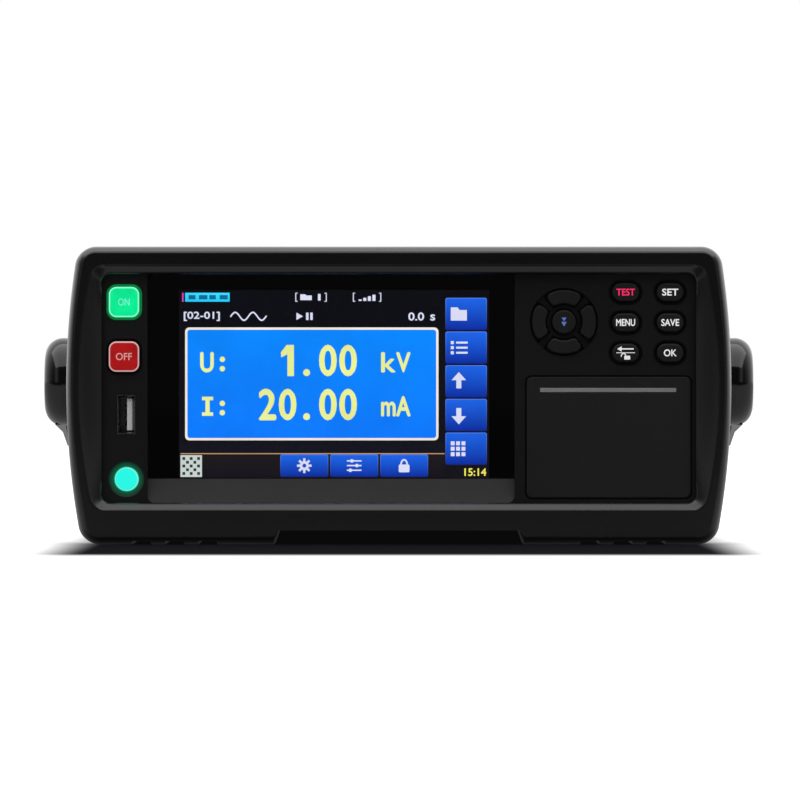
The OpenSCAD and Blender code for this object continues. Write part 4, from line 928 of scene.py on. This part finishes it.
# Words on the keys and on the two lit keys: height, and how far their strokes are widened
LEGEND_H, LEGEND_BOLD = 2.35, 0.07
LIT_WORD_H, LIT_BOLD = 2.5, 0.03


def legend(node, body, mat, draw):
    """A mark on the face of a key, drawn round the key's middle."""
    key = Spot(node)
    s = Sheet(key.front - 0.01, to_same, False)
    draw(s, key.x, key.z)
    s.make("legend_" + body, mat, body)


def key_word(text, w, h=LEGEND_H, bold=LEGEND_BOLD):
    """A word in the middle of a key."""
    return lambda s, x, z: s.word(text, x - w / 2, z - h / 2, w, h, WHITE_TINT, bold)


def back_mark(s, x, z):
    """A back arrow over a line, and an open padlock below it."""
    s.line([(x - 1.6, z + 1.4), (x + 2.6, z + 1.4)], 0.45, WHITE_TINT)
    s.shape([(x - 3.0, z + 1.4), (x - 1.4, z + 2.35), (x - 1.4, z + 0.45)], WHITE_TINT)
    s.line([(x - 3.2, z + 0.05), (x + 3.2, z + 0.05)], 0.24, WHITE_TINT)
    s.rounded(x - 0.5, z - 2.35, 2.1, 1.35, 0.2, WHITE_TINT)
    s.hoop(x - 0.75, z - 1.2, 0.8, 1.0, 0.34, WHITE_TINT)


def centre_mark(s, x, z):
    """A small double arrow."""
    s.shape([(x - 0.85, z + 1.55), (x + 0.85, z + 1.55), (x, z + 0.25)], WHITE_TINT)
    s.shape([(x - 0.95, z + 0.05), (x + 0.95, z + 0.05), (x, z - 1.6)], WHITE_TINT)


legend("start_cap", "start_button", LEGEND_CYAN, key_word("ON", 4.0, LIT_WORD_H, LIT_BOLD))
legend("stop_cap", "stop_button", LEGEND_PINK, key_word("OFF", 5.6, LIT_WORD_H, LIT_BOLD))
for body, width in (("test", 6.4), ("set", 5.6), ("menu", 6.6), ("save", 6.2), ("ok", 4.4)):
    ink = LEGEND_RED if body == "test" else LEGEND
    legend(body + "_key", body, ink, key_word(body.upper(), width))
legend("back_key", "back", LEGEND, back_mark)
legend("center_key", "center", LEGEND_BLUE, centre_mark)


# Floor, light and camera

# The floor: half its width in metres, its tone lit and in the painted shadow, and how bright the camera
# sees both
FLOOR_REACH = 30
FLOOR_TONE, SHADOW_TONE = (0.4, 0.4, 0.4), (0.0065, 0.0067, 0.0085)
FLOOR_SEEN, SHADOW_SEEN = 0.97, 0.003
# The painted shadow before the object, in metres: half width, reach forward and back, and its soft edges
SHADOW_HALF = 0.118
SHADOW_FRONT = 0.176
FRONT_SOFT = 0.03
SHADOW_BACK = 0.12
SHADOW_SOFT = 0.014
# Under the object the floor is painted dark as shade, up to its sides
UNDER_HALF = 0.113
# Mirrors see a floor that is dim far in front, bright near by and dark in the painted shadow
DIM_FAR, DIM_NEAR = -0.7, -0.3
MIRROR_DIM, MIRROR_WHITE = 0.04, 0.55
MIRROR_SHADE = 0.08
# A white card on the floor before the object, for mirrors alone: its distance, half its depth and its level
CARD_FRONT, CARD_HALF, CARD_WHITE = 0.05, 0.024, 0.6


def cast_shadow(t, axes):
    """How far a point of the floor is in the object's painted shadow, and how far within the shadow's
    sides.
    """
    front = FRONT_Y * MM
    edge = front - SHADOW_FRONT
    wide = combine(t, "ABSOLUTE", axes.outputs["X"], 0)
    side = remap(t, wide, 1, 0, (SHADOW_HALF - SHADOW_SOFT, SHADOW_HALF + SHADOW_SOFT), True)
    ahead = remap(t, axes.outputs["Y"], 0, 1, (edge - FRONT_SOFT, edge + FRONT_SOFT), True)
    behind = remap(t, axes.outputs["Y"], 1, 0, (front, front + SHADOW_BACK), True)
    cast = combine(t, "MULTIPLY", combine(t, "MULTIPLY", side, ahead), behind)
    below = remap(t, wide, 1, 0, (UNDER_HALF - SHADOW_SOFT, UNDER_HALF + SHADOW_SOFT), True)
    along = combine(t, "LESS_THAN", combine(t, "ABSOLUTE", axes.outputs["Y"], 0), -front)
    return combine(t, "MAXIMUM", cast, combine(t, "MULTIPLY", below, along)), side


def mirrored_floor(t, axes, shade, side):
    """The floor's level to mirrors and glass, dark in the painted shadow, with the white card before the
    object.
    """
    near_by = remap(t, axes.outputs["Y"], MIRROR_DIM, MIRROR_WHITE, (DIM_FAR, DIM_NEAR), True)
    bare = combine(t, "MULTIPLY", near_by, remap(t, shade, 1, MIRROR_SHADE, (0, 1)))
    off_card = combine(t, "ABSOLUTE", combine(t, "ADD", axes.outputs["Y"], CARD_FRONT - FRONT_Y * MM), 0)
    card = remap(t, off_card, CARD_WHITE, 0, (CARD_HALF / 2, CARD_HALF), True)
    return combine(t, "MAXIMUM", bare, combine(t, "MULTIPLY", card, side))


def make_floor():
    """A wide floor: white with the object's painted shadow to the camera, and dimmer to mirrors and glass.
    """
    me = bpy.data.meshes.new("floor")
    r = FLOOR_REACH
    me.from_pydata([(-r, -r, 0), (r, -r, 0), (r, r, 0), (-r, r, 0)], [], [[0, 1, 2, 3]])
    ob = bpy.data.objects.new("floor", me)
    scene.collection.objects.link(ob)
    m = bpy.data.materials.new("floor_pale")
    m.use_nodes = True
    t = m.node_tree
    b = t.nodes["Principled BSDF"]
    axes = t.nodes.new("ShaderNodeSeparateXYZ")
    t.links.new(place(t), axes.inputs["Vector"])
    shade, side = cast_shadow(t, axes)
    path = t.nodes.new("ShaderNodeLightPath")
    mirrored = combine(t, "ADD", path.outputs["Is Glossy Ray"], path.outputs["Is Transmission Ray"])
    # The shade mask paints the shadow: the glow that the camera sees drops there
    level = remap(t, shade, FLOOR_SEEN, SHADOW_SEEN, (0, 1))
    seen = combine(t, "MULTIPLY", path.outputs["Is Camera Ray"], level)
    in_mirrors = combine(t, "MULTIPLY", mirrored, mirrored_floor(t, axes, shade, side))
    t.links.new(combine(t, "ADD", seen, in_mirrors), b.inputs["Emission Strength"])
    b.inputs["Emission Color"].default_value = (1, 1, 1, 1)
    # The base colour is painted dark in the shadow, and for mirrors
    dark = combine(t, "MAXIMUM", shade, mirrored)
    t.links.new(tone_mix(t, dark, FLOOR_TONE, SHADOW_TONE), b.inputs["Base Color"])
    b.inputs["Roughness"].default_value = 0.9
    b.inputs["Specular IOR Level"].default_value = 0.0
    me.materials.append(m)


make_floor()


# The room's light by direction: dim in front, white behind, and a grey panel on each side
ROOM_DIM, ROOM_WHITE, ROOM_SPAN = 0.06, 1.1, (-0.7, 0.8)
FLANK_GREY, FLANK_RISE, FLANK_FALL = 0.55, (0.2, 0.65), (0.55, 0.85)


def make_world():
    """White to the camera; as light, a white wall behind, a dim one in front and grey panels beside."""
    w = bpy.data.worlds.new("studio")
    scene.world = w
    w.use_nodes = True
    t = w.node_tree
    coord = t.nodes.new("ShaderNodeTexCoord")
    axes = t.nodes.new("ShaderNodeSeparateXYZ")
    t.links.new(coord.outputs["Generated"], axes.inputs["Vector"])
    wall = remap(t, axes.outputs["Y"], ROOM_DIM, ROOM_WHITE, ROOM_SPAN, True)
    across = combine(t, "ABSOLUTE", axes.outputs["X"], 0)
    rise = remap(t, across, 0, FLANK_GREY, FLANK_RISE, True)
    fall = remap(t, across, 1, 0, FLANK_FALL, True)
    room = combine(t, "MAXIMUM", wall, combine(t, "MULTIPLY", rise, fall))
    path = t.nodes.new("ShaderNodeLightPath")
    level = t.nodes.new("ShaderNodeMix")
    level.data_type = "FLOAT"
    t.links.new(path.outputs["Is Camera Ray"], level.inputs["Factor"])
    t.links.new(room, level.inputs["A"])
    level.inputs["B"].default_value = 1.0
    t.links.new(level.outputs["Result"], t.nodes["Background"].inputs["Strength"])
    t.nodes["Background"].inputs["Color"].default_value = (1, 1, 1, 1)


make_world()


def soft_box(name, at, aim, w, h, power):
    """A soft box at a place, aimed at a point, unseen by the camera."""
    li = bpy.data.lights.new(name, "AREA")
    li.shape = "RECTANGLE"
    li.size, li.size_y = w, h
    li.energy = power
    ob = bpy.data.objects.new(name, li)
    ob.location = at
    ob.rotation_euler = (Vector(aim) - Vector(at)).to_track_quat("-Z", "Y").to_euler()
    ob.visible_camera = False
    scene.collection.objects.link(ob)


# The soft box overhead: its place before and above the middle, width, depth and power
BOX_Y, BOX_Z = -0.5, 1.35
BOX_W, BOX_D, BOX_POWER = 3.0, 2.2, 34
soft_box("overhead", (0, BOX_Y, BOX_Z), (0, BOX_Y, 0), BOX_W, BOX_D, BOX_POWER)

cam = bpy.data.cameras.new("camera")
cam.sensor_width = SENSOR
cam.lens = SENSOR * CAM_D * PX_A_MM / PICTURE_W
cam.clip_end = 100
cam_ob = bpy.data.objects.new("camera", cam)
cam_ob.location = (CAM_X * MM, (FRONT_Y - CAM_D) * MM, CAM_Z * MM)
cam_ob.rotation_euler = (math.radians(90), 0, 0)
scene.collection.objects.link(cam_ob)
scene.camera = cam_ob
scene.view_settings.view_transform = "Standard"
